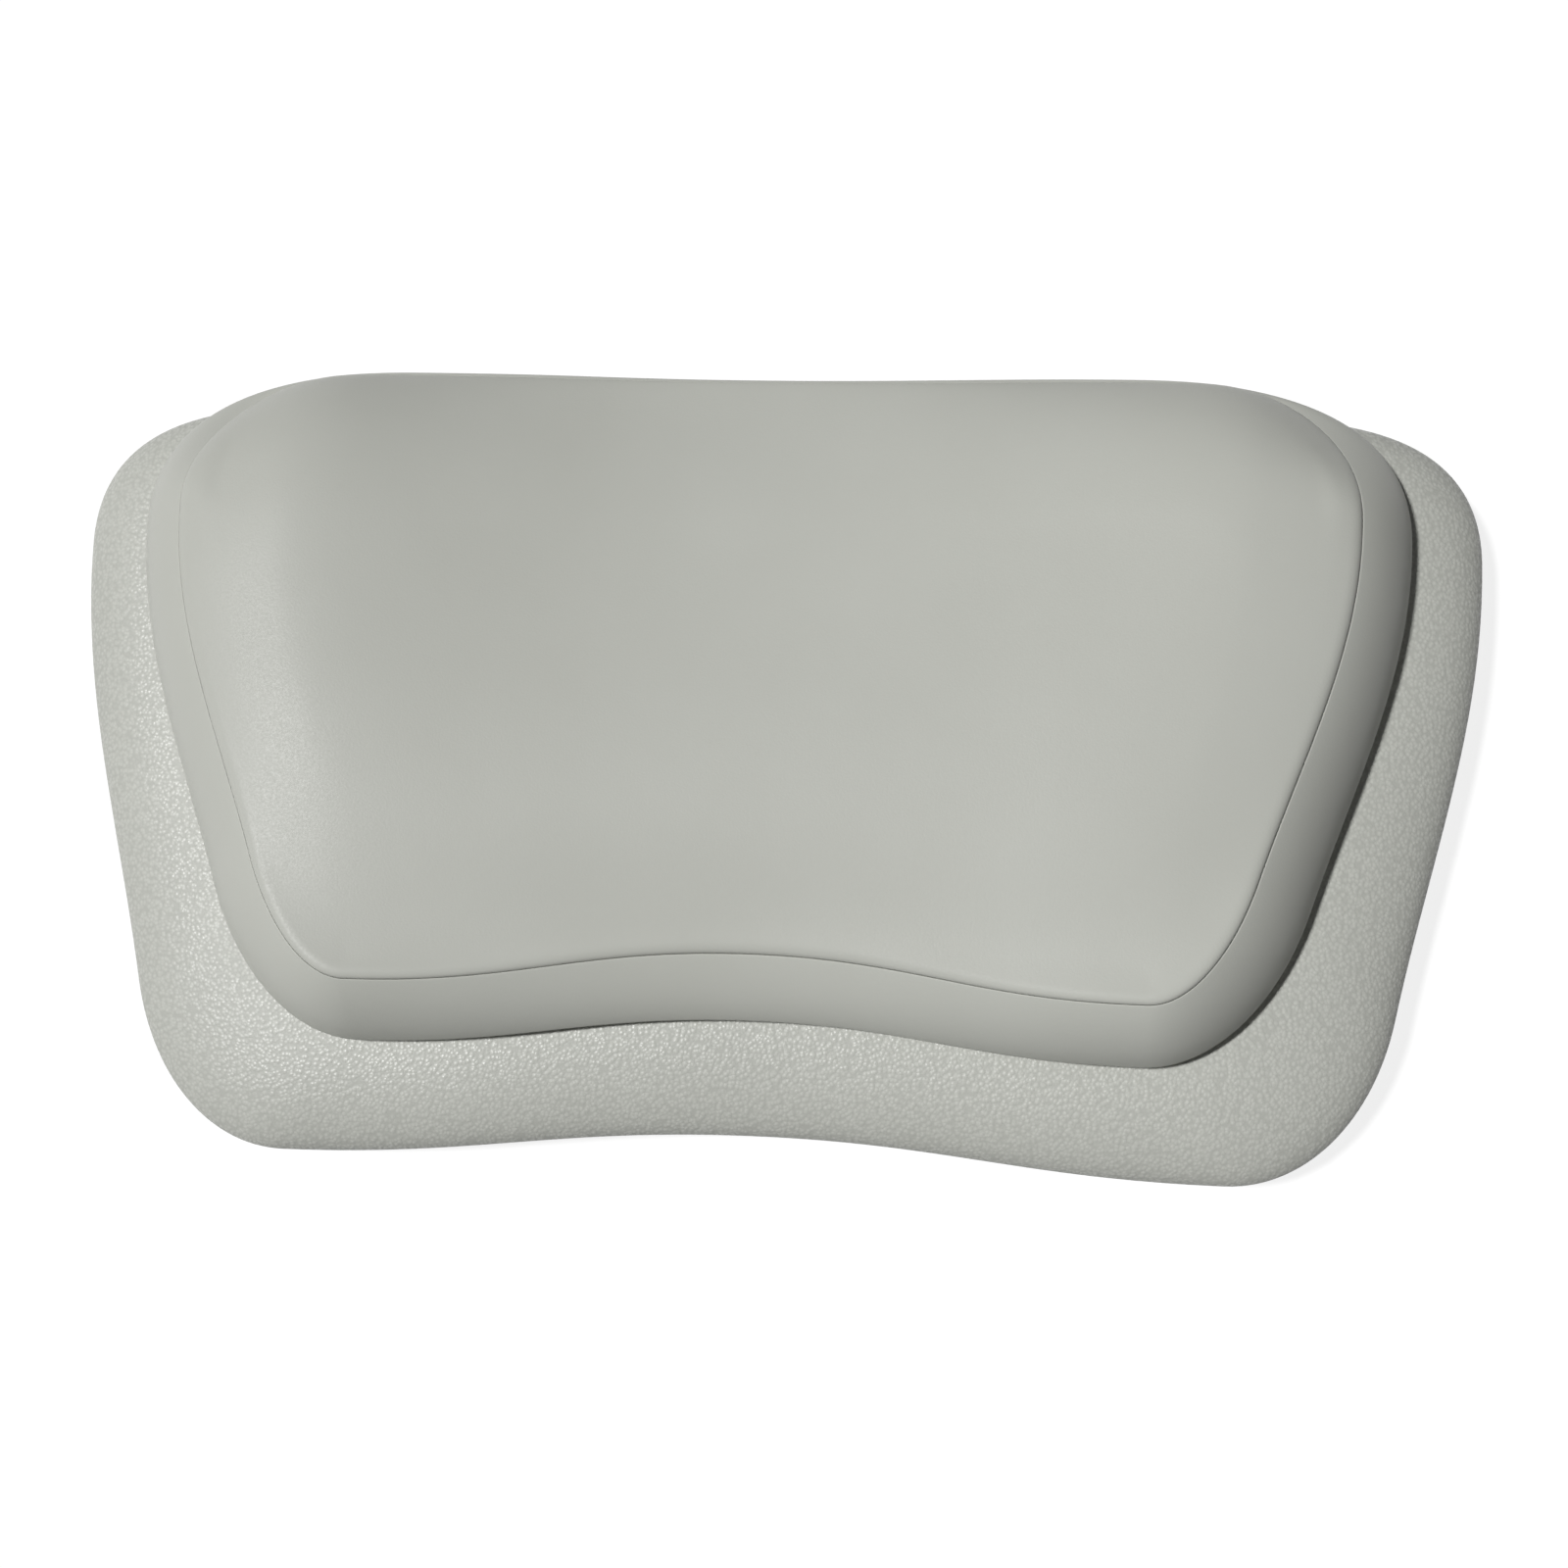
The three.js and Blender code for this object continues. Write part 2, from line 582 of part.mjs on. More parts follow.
// Clamp screw: a pan head with a cross drive on the plate's outer face, its shank in the insert
function makeClampScrew() {
  const headTopZ = backZ - GAP;
  const headZ = headTopZ - SCREW_HEAD_HEIGHT;
  const tipZ = boardTopZ - SCREW_SHORT;
  const crownRadius = SCREW_HEAD_RADIUS - SCREW_HEAD_HEIGHT / 2;
  const body = turned(
    [
      [0, headZ],
      [crownRadius, headZ],
      [SCREW_HEAD_RADIUS, headTopZ - SCREW_HEAD_HEIGHT / 2],
      [SCREW_HEAD_RADIUS, headTopZ],
      [SCREW_RADIUS, headTopZ],
      [SCREW_RADIUS, tipZ - SCREW_RADIUS / 2],
      [SCREW_RADIUS / 2, tipZ],
      [0, tipZ],
    ],
    SMALL_ROUND_STEPS,
  );
  const slot = block(DRIVE_LENGTH, DRIVE_WIDTH, headZ - CUT_MARGIN, headZ + DRIVE_DEPTH);
  const crossSlot = slot.clone().rotateZ(Math.PI / 2);
  return cut(body, [slot, crossSlot]);
}

// Suction cup: a bell with a flat sealing lip, a neck through the plate, a snap-in head and a lift tab
function makeSuctionCup() {
  const shoulderTop = backZ - GAP;
  const shoulderEdge = shoulderTop - CUP_SHOULDER_SLOPE;
  const headTop = cupHeadZ + CUP_HEAD_HEIGHT;
  const hollowRoof = CUP_HOLLOW_DEPTH - CUP_HOLLOW_DOME;
  const bell = turned(
    [
      [0, CUP_HOLLOW_DEPTH],
      [CUP_SHOULDER_RADIUS - GAP, hollowRoof],
      [CUP_RADIUS - CUP_LIP, 0],
      [CUP_RADIUS, 0],
      [CUP_RADIUS, CUP_LIP_HEIGHT],
      [CUP_SHOULDER_RADIUS, shoulderEdge],
      [CUP_SHOULDER_RADIUS - CUP_SHOULDER_SLOPE, shoulderTop],
      [CUP_NECK_RADIUS, shoulderTop],
      [CUP_NECK_RADIUS, cupHeadZ],
      [CUP_HEAD_RADIUS, cupHeadZ],
      [CUP_HEAD_RADIUS, cupHeadZ + CUP_HEAD_TAPER],
      [CUP_HEAD_RADIUS - CUP_HEAD_TAPER, headTop],
      [0, headTop],
    ],
    ROUND_STEPS,
  );
  const tabReach = CUP_RADIUS + CUP_TAB_LENGTH - CUP_TAB_WIDTH / 2;
  const tabShape = new THREE.Shape();
  tabShape.moveTo(-CUP_TAB_WIDTH / 2, CUP_RADIUS - CUP_LIP / 2);
  tabShape.lineTo(CUP_TAB_WIDTH / 2, CUP_RADIUS - CUP_LIP / 2);
  tabShape.lineTo(CUP_TAB_WIDTH / 2, tabReach);
  tabShape.absarc(0, tabReach, CUP_TAB_WIDTH / 2, 0, Math.PI);
  const tabOptions = { depth: CUP_TAB_THICKNESS, bevelEnabled: false, curveSegments: SMALL_ROUND_STEPS / 2 };
  const tab = new THREE.ExtrudeGeometry(tabShape, tabOptions).translate(0, 0, CUP_TAB_LIFT);
  return joined(bell, [tab]);
}

// Finishes
const grainedSkin = new THREE.MeshStandardMaterial({ color: 0xbabbb4, roughness: 0.55 });
const smoothSkin = new THREE.MeshStandardMaterial({ color: 0xbdbeb8, roughness: 0.48 });
const softFoam = new THREE.MeshStandardMaterial({ color: 0xe6e2d2, roughness: 0.95 });
const boardPlastic = new THREE.MeshStandardMaterial({ color: 0x8f918d, roughness: 0.7 });
const platePlastic = new THREE.MeshStandardMaterial({ color: 0xd2d3cf, roughness: 0.5 });
const cupVinyl = new THREE.MeshStandardMaterial({ color: 0xdfe7e8, roughness: 0.25 });
const screwSteel = new THREE.MeshStandardMaterial({ color: 0xc4c6c8, roughness: 0.3, metalness: 1 });
const insertBrass = new THREE.MeshStandardMaterial({ color: 0xc8a860, roughness: 0.35, metalness: 1 });

function addPiece(group, name, geometry, material, place = new THREE.Vector2()) {
  const mesh = new THREE.Mesh(geometry, material);
  mesh.name = name;
  mesh.position.set(place.x, place.y, 0);
  group.add(mesh);
  return mesh;
}

// Assembly
const pillow = new THREE.Group();
addPiece(pillow, 'base_pad', makeBasePad(), grainedSkin);
addPiece(pillow, 'side_band', makeSideBand(), smoothSkin);
addPiece(pillow, 'crown_pad', makeCrownPad(), smoothSkin);
addPiece(pillow, 'foam_core', makeFoamCore(), softFoam);
addPiece(pillow, 'cushion_board', makeCushionBoard(), boardPlastic);
addPiece(pillow, 'backing_plate', makeBackingPlate(), platePlastic);
screwPlaces.forEach((place, i) => {
  addPiece(pillow, `clamp_screw_${i + 1}`, makeClampScrew(), screwSteel, place);
  addPiece(pillow, `threaded_insert_${i + 1}`, makeThreadedInsert(), insertBrass, place);
});
cupPlaces.forEach((place, i) => {
  const cup = addPiece(pillow, `suction_cup_${i + 1}`, makeSuctionCup(), cupVinyl, place);
  cup.rotation.z = place.y > 0 ? 0 : Math.PI;
});

export default pillow;
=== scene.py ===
"""Bath pillow: the looks of a two-tier moulded head cushion, laid out as an add-on and run as a script.

Lengths are in metres. The pillow lies on its back on its suction cups: X is its width, Y points to its upper
edge and Z out of its face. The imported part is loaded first, and every piece is built in its frame.
"""

import json
import math
from dataclasses import astuple, dataclass, replace

import bmesh
import bpy
from bpy.props import FloatProperty, FloatVectorProperty, PointerProperty
from bpy.types import Operator, Panel, PropertyGroup
from mathutils import Matrix, Vector, noise
from mathutils.kdtree import KDTree


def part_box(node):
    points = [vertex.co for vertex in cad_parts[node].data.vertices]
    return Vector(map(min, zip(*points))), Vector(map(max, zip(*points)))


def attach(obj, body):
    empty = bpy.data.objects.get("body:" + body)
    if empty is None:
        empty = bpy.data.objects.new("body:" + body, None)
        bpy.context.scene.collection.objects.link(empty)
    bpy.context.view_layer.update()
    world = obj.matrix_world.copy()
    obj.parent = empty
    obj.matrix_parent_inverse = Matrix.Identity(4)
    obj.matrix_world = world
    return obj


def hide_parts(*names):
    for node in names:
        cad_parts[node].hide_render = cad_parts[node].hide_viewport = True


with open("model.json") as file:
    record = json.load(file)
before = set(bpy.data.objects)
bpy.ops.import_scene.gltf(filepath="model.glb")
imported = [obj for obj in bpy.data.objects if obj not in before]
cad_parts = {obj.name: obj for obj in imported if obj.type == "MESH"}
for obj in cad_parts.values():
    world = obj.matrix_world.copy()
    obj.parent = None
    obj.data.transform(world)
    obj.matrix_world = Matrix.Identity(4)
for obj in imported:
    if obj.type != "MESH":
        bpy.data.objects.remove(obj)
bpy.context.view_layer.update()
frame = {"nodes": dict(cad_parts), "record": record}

bl_info = {
    "name": "Bath pillow",
    "version": (1, 0, 0),
    "blender": (4, 5, 0),
    "location": "3D View > Sidebar > Pillow",
    "description": "Builds a moulded bath pillow on its packed part, with its stage",
    "category": "Object",
}

MM = 0.001
GAP = 0.3 * MM  # between pieces that touch
SWIVEL_GAP = 0.5 * MM  # round a suction cup's head

# How far the handles of an outline's curves reach, as a share: more is fuller, and 0 a straight cut
SHOULDER_FULLNESS = 0.66
SIDE_FULLNESS = 0.35
CORNER_FULLNESS = 0.6
WAVE_FULLNESS = 0.42

# Steps along each stretch of an outline, and round a turned piece or a hole
WAVE_STEPS = 28
CORNER_STEPS = 30
SIDE_STEPS = 24
SHOULDER_STEPS = 36
ROUND_STEPS = 72
HOLE_STEPS = 24

# The humps spread apart between these parts of the way from the crown's lower edge to its upper one
SPREAD_START = 0.1
SPREAD_END = 0.8

NOISE_RANGE = (0.3, 0.7)  # where most of a cloudy noise lies

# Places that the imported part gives
base_low, base_high = (Vector(corner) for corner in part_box("base_pad"))
band_low, band_high = (Vector(corner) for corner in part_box("side_band"))
plate_high = Vector(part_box("backing_plate")[1])
core_low = Vector(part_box("foam_core")[0])
cup_high = Vector(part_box("suction_cup_1")[1])


def length(label, note, metres):
    """A size that the user may change."""
    return FloatProperty(name=label, description=note, default=metres, unit="LENGTH", precision=4)


def lean(label, note, degrees):
    """An angle that the user may change."""
    return FloatProperty(name=label, description=note, default=math.radians(degrees), subtype="ANGLE")


def number(label, note, value):
    """A plain number that the user may change."""
    return FloatProperty(name=label, description=note, default=value)


def share(label, note, value):
    """A plain number from 0 to 1 that the user may change."""
    return FloatProperty(name=label, description=note, default=value, min=0, max=1)


def colour(label, note, red, green, blue):
    """A colour that the user may change, in linear values."""
    return FloatVectorProperty(
        name=label, description=note, default=(red, green, blue), subtype="COLOR", min=0, max=1
    )


def position(label, note, x, y, z):
    """A place that the user may change."""
    return FloatVectorProperty(name=label, description=note, default=(x, y, z), unit="LENGTH")


class BasePadSizes(PropertyGroup):
    """Plan and section of the base pad."""

    width: length("Width", "Across the widest place", base_high.x - base_low.x)
    widest_drop: length("Widest place", "From the upper edge down to where it is widest", 30 * MM)
    top_run: length("Top run", "Straight run of the upper edge", 220 * MM)
    hip_width: length("Hip width", "Between the lower ends of the leaning sides", 263.2 * MM)
    hip_rise: length("Hip rise", "Of those ends above the lowest points", 34.5 * MM)
    lean: lean("Lean", "Of the sides at those ends", 12.3)
    foot_run: length("Foot run", "Between the lowest points of the lower edge", 195 * MM)
    arch: length("Arch", "Rise of the lower edge between those points", 6.4 * MM)
    rim_under: length("Rim underside", "Height and width of the rim's round underside", 5.5 * MM)
    recess_lip: length("Recess lip", "Rounding of the lip round the plate's recess", 0.8 * MM)
    waver: length("Waver", "Unevenness of the moulded skin", 0.18 * MM)


class CushionSizes(PropertyGroup):
    """Plan of the cushion at its girth, and section of its side band."""

    flange_side: length("Flange at the sides", "From the pad's girth to the cushion's", 17.1 * MM)
    flange_hip: length("Flange at the hips", "From the pad's girth to the cushion's", 19.1 * MM)
    flange_foot: length("Flange at the feet", "Sideways, between the lowest points", 18 * MM)
    flange_top: length("Flange at the top", "From the pad's girth to the cushion's foot", 1.5 * MM)
    widest_drop: length("Widest place", "From the upper edge down to where it is widest", 34 * MM)
    top_run: length("Top run", "Straight run of the upper edge", 152 * MM)
    top_dip: length("Top dip", "Fall of the upper edge at its middle", 1 * MM)
    hip_rise: length("Hip rise", "Of the sides' lower ends above the lowest points", 32 * MM)
    lean: lean("Lean", "Of the sides at their lower ends", 18.2)
    arch: length("Arch", "Rise of the lower edge between its lowest points", 6.6 * MM)
    tuck: length("Tuck", "How far the foot is drawn in under the girth", 4 * MM)
    tuck_rise: length("Tuck height", "Of the girth above the foot", 4 * MM)
    roll: length("Roll", "From the girth in to the seam", 12.8 * MM)
    roll_top: length("Roll at the top", "The same along the upper edge", 0.8 * MM)
    roll_foot: length("Roll at the feet", "The same at the lowest points", 11.5 * MM)
    rise_top: length("Rise at the top", "Of the seam above the girth along the upper edge", 0.8 * MM)
    roll_start: lean("Roll start", "Lean of the section's circle just above the girth", 16)
    turn: lean("Turn", "How far round the section turns up to the seam", 62)
    shoulder: length("Shoulder", "Ledge inside the seam that carries the crown pad", 8.5 * MM)
    seam_sweep: length("Seam sweep", "Rise of the seam from the middle to the sides", 7.5 * MM)
    sweep_foot: share("Sweep at the feet", "Share of that rise at the lower corners", 0.8)
    seam_top_run: length("Seam top run", "Straight run of the seam's upper edge", 174 * MM)
    seam_width: length("Seam width", "Of the slit at the bottom of the crease", 0.05 * MM)
    seam_depth: length("Seam depth", "Of the ledge below the seam", 3.4 * MM)
    seam_depth_top: length("Seam depth at the top", "The same along the upper edge", 0.9 * MM)
    crease_depth: length("Crease depth", "Of the crease along the seam, down to its slit", 0.25 * MM)
    lip: length("Lip", "Width of the crease's rounded side on the band", 0.45 * MM)
    core_least: length("Core edge", "Thickness of the core along the upper edge", 1 * MM)
    waver: length("Waver", "Unevenness of the moulded skin", 0.15 * MM)


class CrownSizes(PropertyGroup):
    """Form of the crown pad."""

    rise: length("Rise", "Of the ridge above the seam, at the middle", 6.4 * MM)
    thickness: length("Thickness", "At the middle", 9.4 * MM)
    cradle: length("Cradle", "Depth of the hollow between the two humps", 7.3 * MM)
    cradle_foot: share("Cradle at the foot", "Share of that depth along the lower edge", 0.42)
    cradle_top: number("Cradle at the top", "Share of that depth along the upper edge", 2.25)
    sink: length("Sink", "Fall of the cradle's middle towards the upper edge", 8 * MM)
    hump_span_foot: length("Hump span at the foot", "Between the two humps along the lower edge", 174 * MM)
    hump_span_top: length("Hump span at the top", "Between the two humps along the upper edge", 202 * MM)
    ridge_drop: length("Ridge", "From the crown's upper edge down to its ridge", 68 * MM)
    bow_foot: length("Bow at the foot", "Fall from the ridge to the crown's lower edge", 4.2 * MM)
    bow_top: length("Bow at the top", "Fall from the ridge to the crown's upper edge", 1.5 * MM)
    roll: length("Roll", "Width of the rounded margin at the sides", 20 * MM)
    roll_top: length("Roll at the top", "The same along the upper edge", 33 * MM)
    roll_foot: length("Roll at the foot", "The same along the lower edge", 34 * MM)
    power_top: share("Power at the top", "Of the margin's curve along the upper edge: less is fuller", 0.8)
    rim_lift: length("Rim lift", "Of the rim over the band's ledge", 1 * MM)
    rim_lift_top: length("Rim lift at the top", "The same along the upper edge", 0.25 * MM)
    bead: length("Bead", "Height of the crown's rounded edge over the band", 1.2 * MM)
    lip: length("Lip", "Width of that edge", 2.6 * MM)


class BackSizes(PropertyGroup):
    """Sizes of the plate's edges and of the screws and cups on the back."""

    plate_margin: length("Plate margin", "From the pad's edge to the plate's", 22 * MM)
    plate_round: length("Plate rounding", "Of the plate's edges", 0.35 * MM)
    shank_radius: length("Shank radius", "Of a clamp screw", 2 * MM)
    head_radius: length("Screw head radius", "Of a clamp screw's pan head", 4 * MM)
    drive_length: length("Drive length", "Of each slot in the cross drive", 4.6 * MM)
    drive_width: length("Drive width", "Of each slot in the cross drive", 1 * MM)
    drive_depth: length("Drive depth", "Of the cross drive", 1.4 * MM)
    cup_radius: length("Cup radius", "Of a suction cup's lip", 22.5 * MM)
    cup_lip: length("Cup lip", "Width of the flat ring that seals", 2 * MM)
    cup_shoulder: length("Cup shoulder", "Radius of the bell's shoulder", 9.5 * MM)
    cup_hollow: length("Cup hollow", "Depth of the bell's hollow", 7.2 * MM)
    cup_neck: length("Cup neck", "Radius of the neck through the plate", 4.5 * MM)
    cup_head: length("Cup head", "Radius of the snap-in head", 6.8 * MM)
    tab_width: length("Tab width", "Of a cup's lift tab", 8 * MM)
    tab_length: length("Tab length", "Of a cup's lift tab beyond the lip", 6 * MM)
    tab_thickness: length("Tab thickness", "Of a cup's lift tab", 1.2 * MM)
    tab_lift: length("Tab lift", "Of a tab's underside over the wall", 0.4 * MM)


class FinishColours(PropertyGroup):
    """Colours of the finishes."""

    skin: colour("Skin", "Of the moulded skin", 0.50, 0.508, 0.468)
    skin_shade: colour("Skin shade", "Of the moulded skin's darker patches", 0.47, 0.477, 0.437)
    # Painted shade: the grain's valleys are coloured darker as if shaded, and the tops a little lighter so
    # that the mean stays the skin's tone
    grain_top: colour("Grain tops", "Of the pebbles of the grained skin", 0.522, 0.53, 0.489)
    grain_valley_painted_shade: colour("Grain valleys", "Of the valleys between them", 0.417, 0.424, 0.389)
    foam: colour("Foam", "Of the core", 0.78, 0.75, 0.64)
    board: colour("Board", "Of the cushion board", 0.27, 0.28, 0.265)
    plate: colour("Plate", "Of the backing plate", 0.62, 0.63, 0.60)
    steel: colour("Steel", "Of the clamp screws", 0.56, 0.57, 0.58)
    brass: colour("Brass", "Of the threaded inserts", 0.58, 0.40, 0.12)
    vinyl: colour("Vinyl", "Of the suction cups", 0.74, 0.80, 0.81)


class StageSettings(PropertyGroup):
    """Camera, floor and light."""

    camera_place: position("Camera", "Place of the camera", 0.04302, -0.0751, 0.47293)
    camera_aim: position("Aim", "Point that the camera looks at", 0.00604, -0.00478, 0.03)
    camera_roll: lean("Roll", "Turn of the camera about its view", 2.214)
    camera_lens: FloatProperty(name="Lens", description="On a 36 mm sensor", default=50.358, unit="CAMERA")
    key_place: position("Key place", "Where the key light shines from", -0.43, 0, 1)
    key_power: number("Key light", "Strength of the key light", 3.05)
    key_spread: lean("Key spread", "Apparent width of the key light", 6)
    side_place: position("Side place", "Where the side light shines from", -1.05, -0.12, 0.55)
    side_power: number("Side light", "Strength of the side light", 0.2)
    side_spread: lean("Side spread", "Apparent width of the side light", 24)
    bounce_place: position("Bounce place", "Where the light from the floor comes from", 0, 0, -1)
    bounce_power: number("Bounce", "Strength of the light from the floor", 1.1)
    bounce_spread: lean("Bounce spread", "Apparent width of the light from the floor", 60)
    fill: share("Fill", "Strength of the light from all round", 0.012)
    glow: share("Floor glow", "How much of the floor's white doesn't depend on the light", 0.84)


class PillowSettings(PropertyGroup):
    """All settings of the bath pillow."""

    base: PointerProperty(type=BasePadSizes)
    cushion: PointerProperty(type=CushionSizes)
    crown: PointerProperty(type=CrownSizes)
    back: PointerProperty(type=BackSizes)
    colours: PointerProperty(type=FinishColours)
    stage: PointerProperty(type=StageSettings)


# Numbers

def blend(start, end, part):
    """A number part of the way from one to another."""
    return start + (end - start) * part


def smooth_step(value, low, high):
    """0 below the low value, 1 above the high one and a smooth rise between."""
    part = min(1, max(0, (value - low) / (high - low)))
    return part * part * (3 - 2 * part)


def parts_of(steps):
    """How far each of some equal steps has come, up to 1 at the last."""
    return [step / steps for step in range(1, steps + 1)]


def quarter_turn(steps):
    """Angles from 0 to a quarter turn."""
    return [step / steps * math.pi / 2 for step in range(steps + 1)]


# Outlines

@dataclass(frozen=True)
class Outline:
    """Right half of an outline, by the points where its curves meet."""

    top_x: float
    top_y: float
    top_mid_y: float
    wide_x: float
    wide_y: float
    hip_x: float
    hip_y: float
    lean: float
    foot_x: float
    foot_y: float
    foot_mid_y: float

    @property
    def middle_y(self):
        """Halfway between the middles of the upper and lower edges."""
        return (self.top_mid_y + self.foot_mid_y) / 2

    def inset(self, distance, top_distance=None):
        """The outline moved inwards, by a distance of its own along the upper edge."""
        top = distance if top_distance is None else top_distance
        return replace(
            self,
            top_y=self.top_y - top,
            top_mid_y=self.top_mid_y - top,
            wide_x=self.wide_x - distance,
            hip_x=self.hip_x - distance * math.cos(self.lean),
            hip_y=self.hip_y + distance * math.sin(self.lean),
            foot_y=self.foot_y + distance,
            foot_mid_y=self.foot_mid_y + distance,
        )


def between(first, second, part):
    """The outline part of the way from one to another."""
    return Outline(*(blend(a, b, part) for a, b in zip(astuple(first), astuple(second))))


def bend(start, start_handle, end_handle, end, steps):
    """Points of a curve between two points, without its first point."""
    handles = (start, start_handle, end_handle, end)
    points = []
    for t in parts_of(steps):
        weights = ((1 - t) ** 3, 3 * t * (1 - t) ** 2, 3 * t * t * (1 - t), t ** 3)
        points.append(sum((point * weight for point, weight in zip(handles, weights)), Vector((0, 0))))
    return points


def wave(start, end, steps):
    """Points of a gentle wave between two points, level at both ends."""
    reach = Vector(((end.x - start.x) * WAVE_FULLNESS, 0))
    return bend(start, start + reach, end - reach, end, steps)


def outline_points(shape):
    """The outline's points, anticlockwise from the middle of the lower edge."""
    foot_mid = Vector((0, shape.foot_mid_y))
    foot = Vector((shape.foot_x, shape.foot_y))
    hip = Vector((shape.hip_x, shape.hip_y))
    wide = Vector((shape.wide_x, shape.wide_y))
    top = Vector((shape.top_x, shape.top_y))
    top_mid = Vector((0, shape.top_mid_y))

    corner = Vector((hip.x - (hip.y - foot.y) * math.tan(shape.lean), foot.y))
    shoulder = Vector((wide.x, top.y))
    side_reach = (wide - hip).length * SIDE_FULLNESS
    up_the_lean = Vector((math.sin(shape.lean), math.cos(shape.lean)))

    corner_handles = (foot.lerp(corner, CORNER_FULLNESS), hip.lerp(corner, CORNER_FULLNESS))
    side_handles = (hip + up_the_lean * side_reach, wide - Vector((0, side_reach)))
    shoulder_handles = (wide.lerp(shoulder, SHOULDER_FULLNESS), top.lerp(shoulder, SHOULDER_FULLNESS))
    right = [
        foot_mid,
        *wave(foot_mid, foot, WAVE_STEPS),
        *bend(foot, *corner_handles, hip, CORNER_STEPS),
        *bend(hip, *side_handles, wide, SIDE_STEPS),
        *bend(wide, *shoulder_handles, top, SHOULDER_STEPS),
        *wave(top, top_mid, WAVE_STEPS),
    ]
    left = [Vector((-point.x, point.y)) for point in reversed(right[1:-1])]
    return right + left


def base_outline(settings):
    """The base pad's outline at its girth."""
    sizes = settings.base
    return Outline(
        top_x=sizes.top_run / 2,
        top_y=base_high.y,
        top_mid_y=base_high.y,
        wide_x=sizes.width / 2,
        wide_y=base_high.y - sizes.widest_drop,
        hip_x=sizes.hip_width / 2,
        hip_y=base_low.y + sizes.hip_rise,
        lean=sizes.lean,
        foot_x=sizes.foot_run / 2,
        foot_y=base_low.y,
        foot_mid_y=base_low.y + sizes.arch,
    )


def cushion_outline(settings):
    """The cushion's outline at the girth of its side band."""
    sizes = settings.cushion
    base = base_outline(settings)
    return Outline(
        top_x=sizes.top_run / 2,
        top_y=band_high.y,
        top_mid_y=band_high.y - sizes.top_dip,
        wide_x=base.wide_x - sizes.flange_side,
        wide_y=band_high.y - sizes.widest_drop,
        hip_x=base.hip_x - sizes.flange_hip,
        hip_y=band_low.y + sizes.hip_rise,
        lean=sizes.lean,
        foot_x=base.foot_x - sizes.flange_foot,
        foot_y=band_low.y,
        foot_mid_y=band_low.y + sizes.arch,
    )


def band_foot_outline(settings, part=1):
    """The cushion's outline part of the way from its girth down to its foot."""
    top_tuck = band_high.y - base_high.y + settings.cushion.flange_top
    return cushion_outline(settings).inset(settings.cushion.tuck * part, top_tuck * part)


def rolled_in(settings, part):
    """The cushion's outline part of the way from its girth to the seam."""
    sizes = settings.cushion
    shape = cushion_outline(settings).inset(sizes.roll * part, sizes.roll_top * part)
    return replace(
        shape,
        top_x=blend(sizes.top_run, sizes.seam_top_run, part) / 2,
        foot_y=band_low.y + sizes.roll_foot * part,
    )


def cradle_sweep(settings, shape, place):
    """How far a place has come from the cradle's middle, 0, up to a hump, 1."""
    sizes = settings.crown
    along = smooth_step(up_part(shape, place.y), SPREAD_START, SPREAD_END)
    across = min(1, 2 * abs(place.x) / blend(sizes.hump_span_foot, sizes.hump_span_top, along))
    # Level in the cradle's middle and on the humps
    return (4 * across ** 2 - across ** 8) / 3


def up_part(shape, y):
    """How far a place has come from the middle of an outline's lower edge, 0, to its upper edge, 1."""
    return min(1, max(0, (y - shape.foot_mid_y) / (shape.top_mid_y - shape.foot_mid_y)))


def cradle_share(settings, shape, y):
    """How deep the cradle is at a place, as a share of its depth: it deepens towards the upper edge."""
    return blend(settings.crown.cradle_foot, settings.crown.cradle_top, up_part(shape, y) ** 2)


def girth_height(settings):
    """Height of the side band's girth."""
    return band_low.z + settings.cushion.tuck_rise


def seam_heights(settings):
    """The seam's height at each of its points: it sweeps up to the sides and falls along the upper edge."""
    sizes = settings.cushion
    seam = rolled_in(settings, 1)
    middle_z = band_high.z - sizes.seam_sweep
    top_z = girth_height(settings) + sizes.rise_top
    heights = []
    for point in outline_points(seam):
        sweep = sizes.seam_sweep * blend(sizes.sweep_foot, 1, smooth_step(point.y, seam.foot_y, seam.wide_y))
        swept = middle_z + sweep * cradle_sweep(settings, seam, point)
        heights.append(blend(swept, top_z, near_top(seam, point)))
    return heights


def near_top(shape, point):
    """0 down to where an outline is widest, rising to 1 along its upper edge."""
    return smooth_step(point.y, shape.wide_y, shape.top_mid_y)


def along_seam(settings, size, top_size=0):
    """A size at each point of the seam, which changes to another along the upper edge or runs out."""
    seam = rolled_in(settings, 1)
    return [blend(size, top_size, near_top(seam, point)) for point in outline_points(seam)]


def ledge_heights(settings):
    """Height of the band's ledge at each point of an outline."""
    sizes = settings.cushion
    depths = along_seam(settings, sizes.seam_depth, sizes.seam_depth_top)
    return [z - depth for z, depth in zip(seam_heights(settings), depths)]


def inner_ledge_heights(settings):
    """The same at the ledge's inner edge, where it clears the core."""
    least = core_low.z + settings.cushion.core_least
    return [max(z, least) for z in ledge_heights(settings)]


def crown_under(settings):
    """Height of the crown pad's underside at its middle."""
    return band_high.z - settings.cushion.seam_sweep + settings.crown.rise - settings.crown.thickness


# Meshes

def add_ring(mesh, shape, heights):
    """Vertices on an outline, at one height or at a height for each point."""
    points = outline_points(shape)
    if not isinstance(heights, list):
        heights = [heights] * len(points)
    return [mesh.verts.new((point.x, point.y, z)) for point, z in zip(points, heights)]


def add_circle(mesh, centre, radius, z, steps=HOLE_STEPS):
    """Vertices on a circle, in the order of a turn to the left."""
    angles = [2 * math.pi * step / steps for step in range(steps)]
    return [
        mesh.verts.new((centre.x + radius * math.cos(angle), centre.y + radius * math.sin(angle), z))
        for angle in angles
    ]


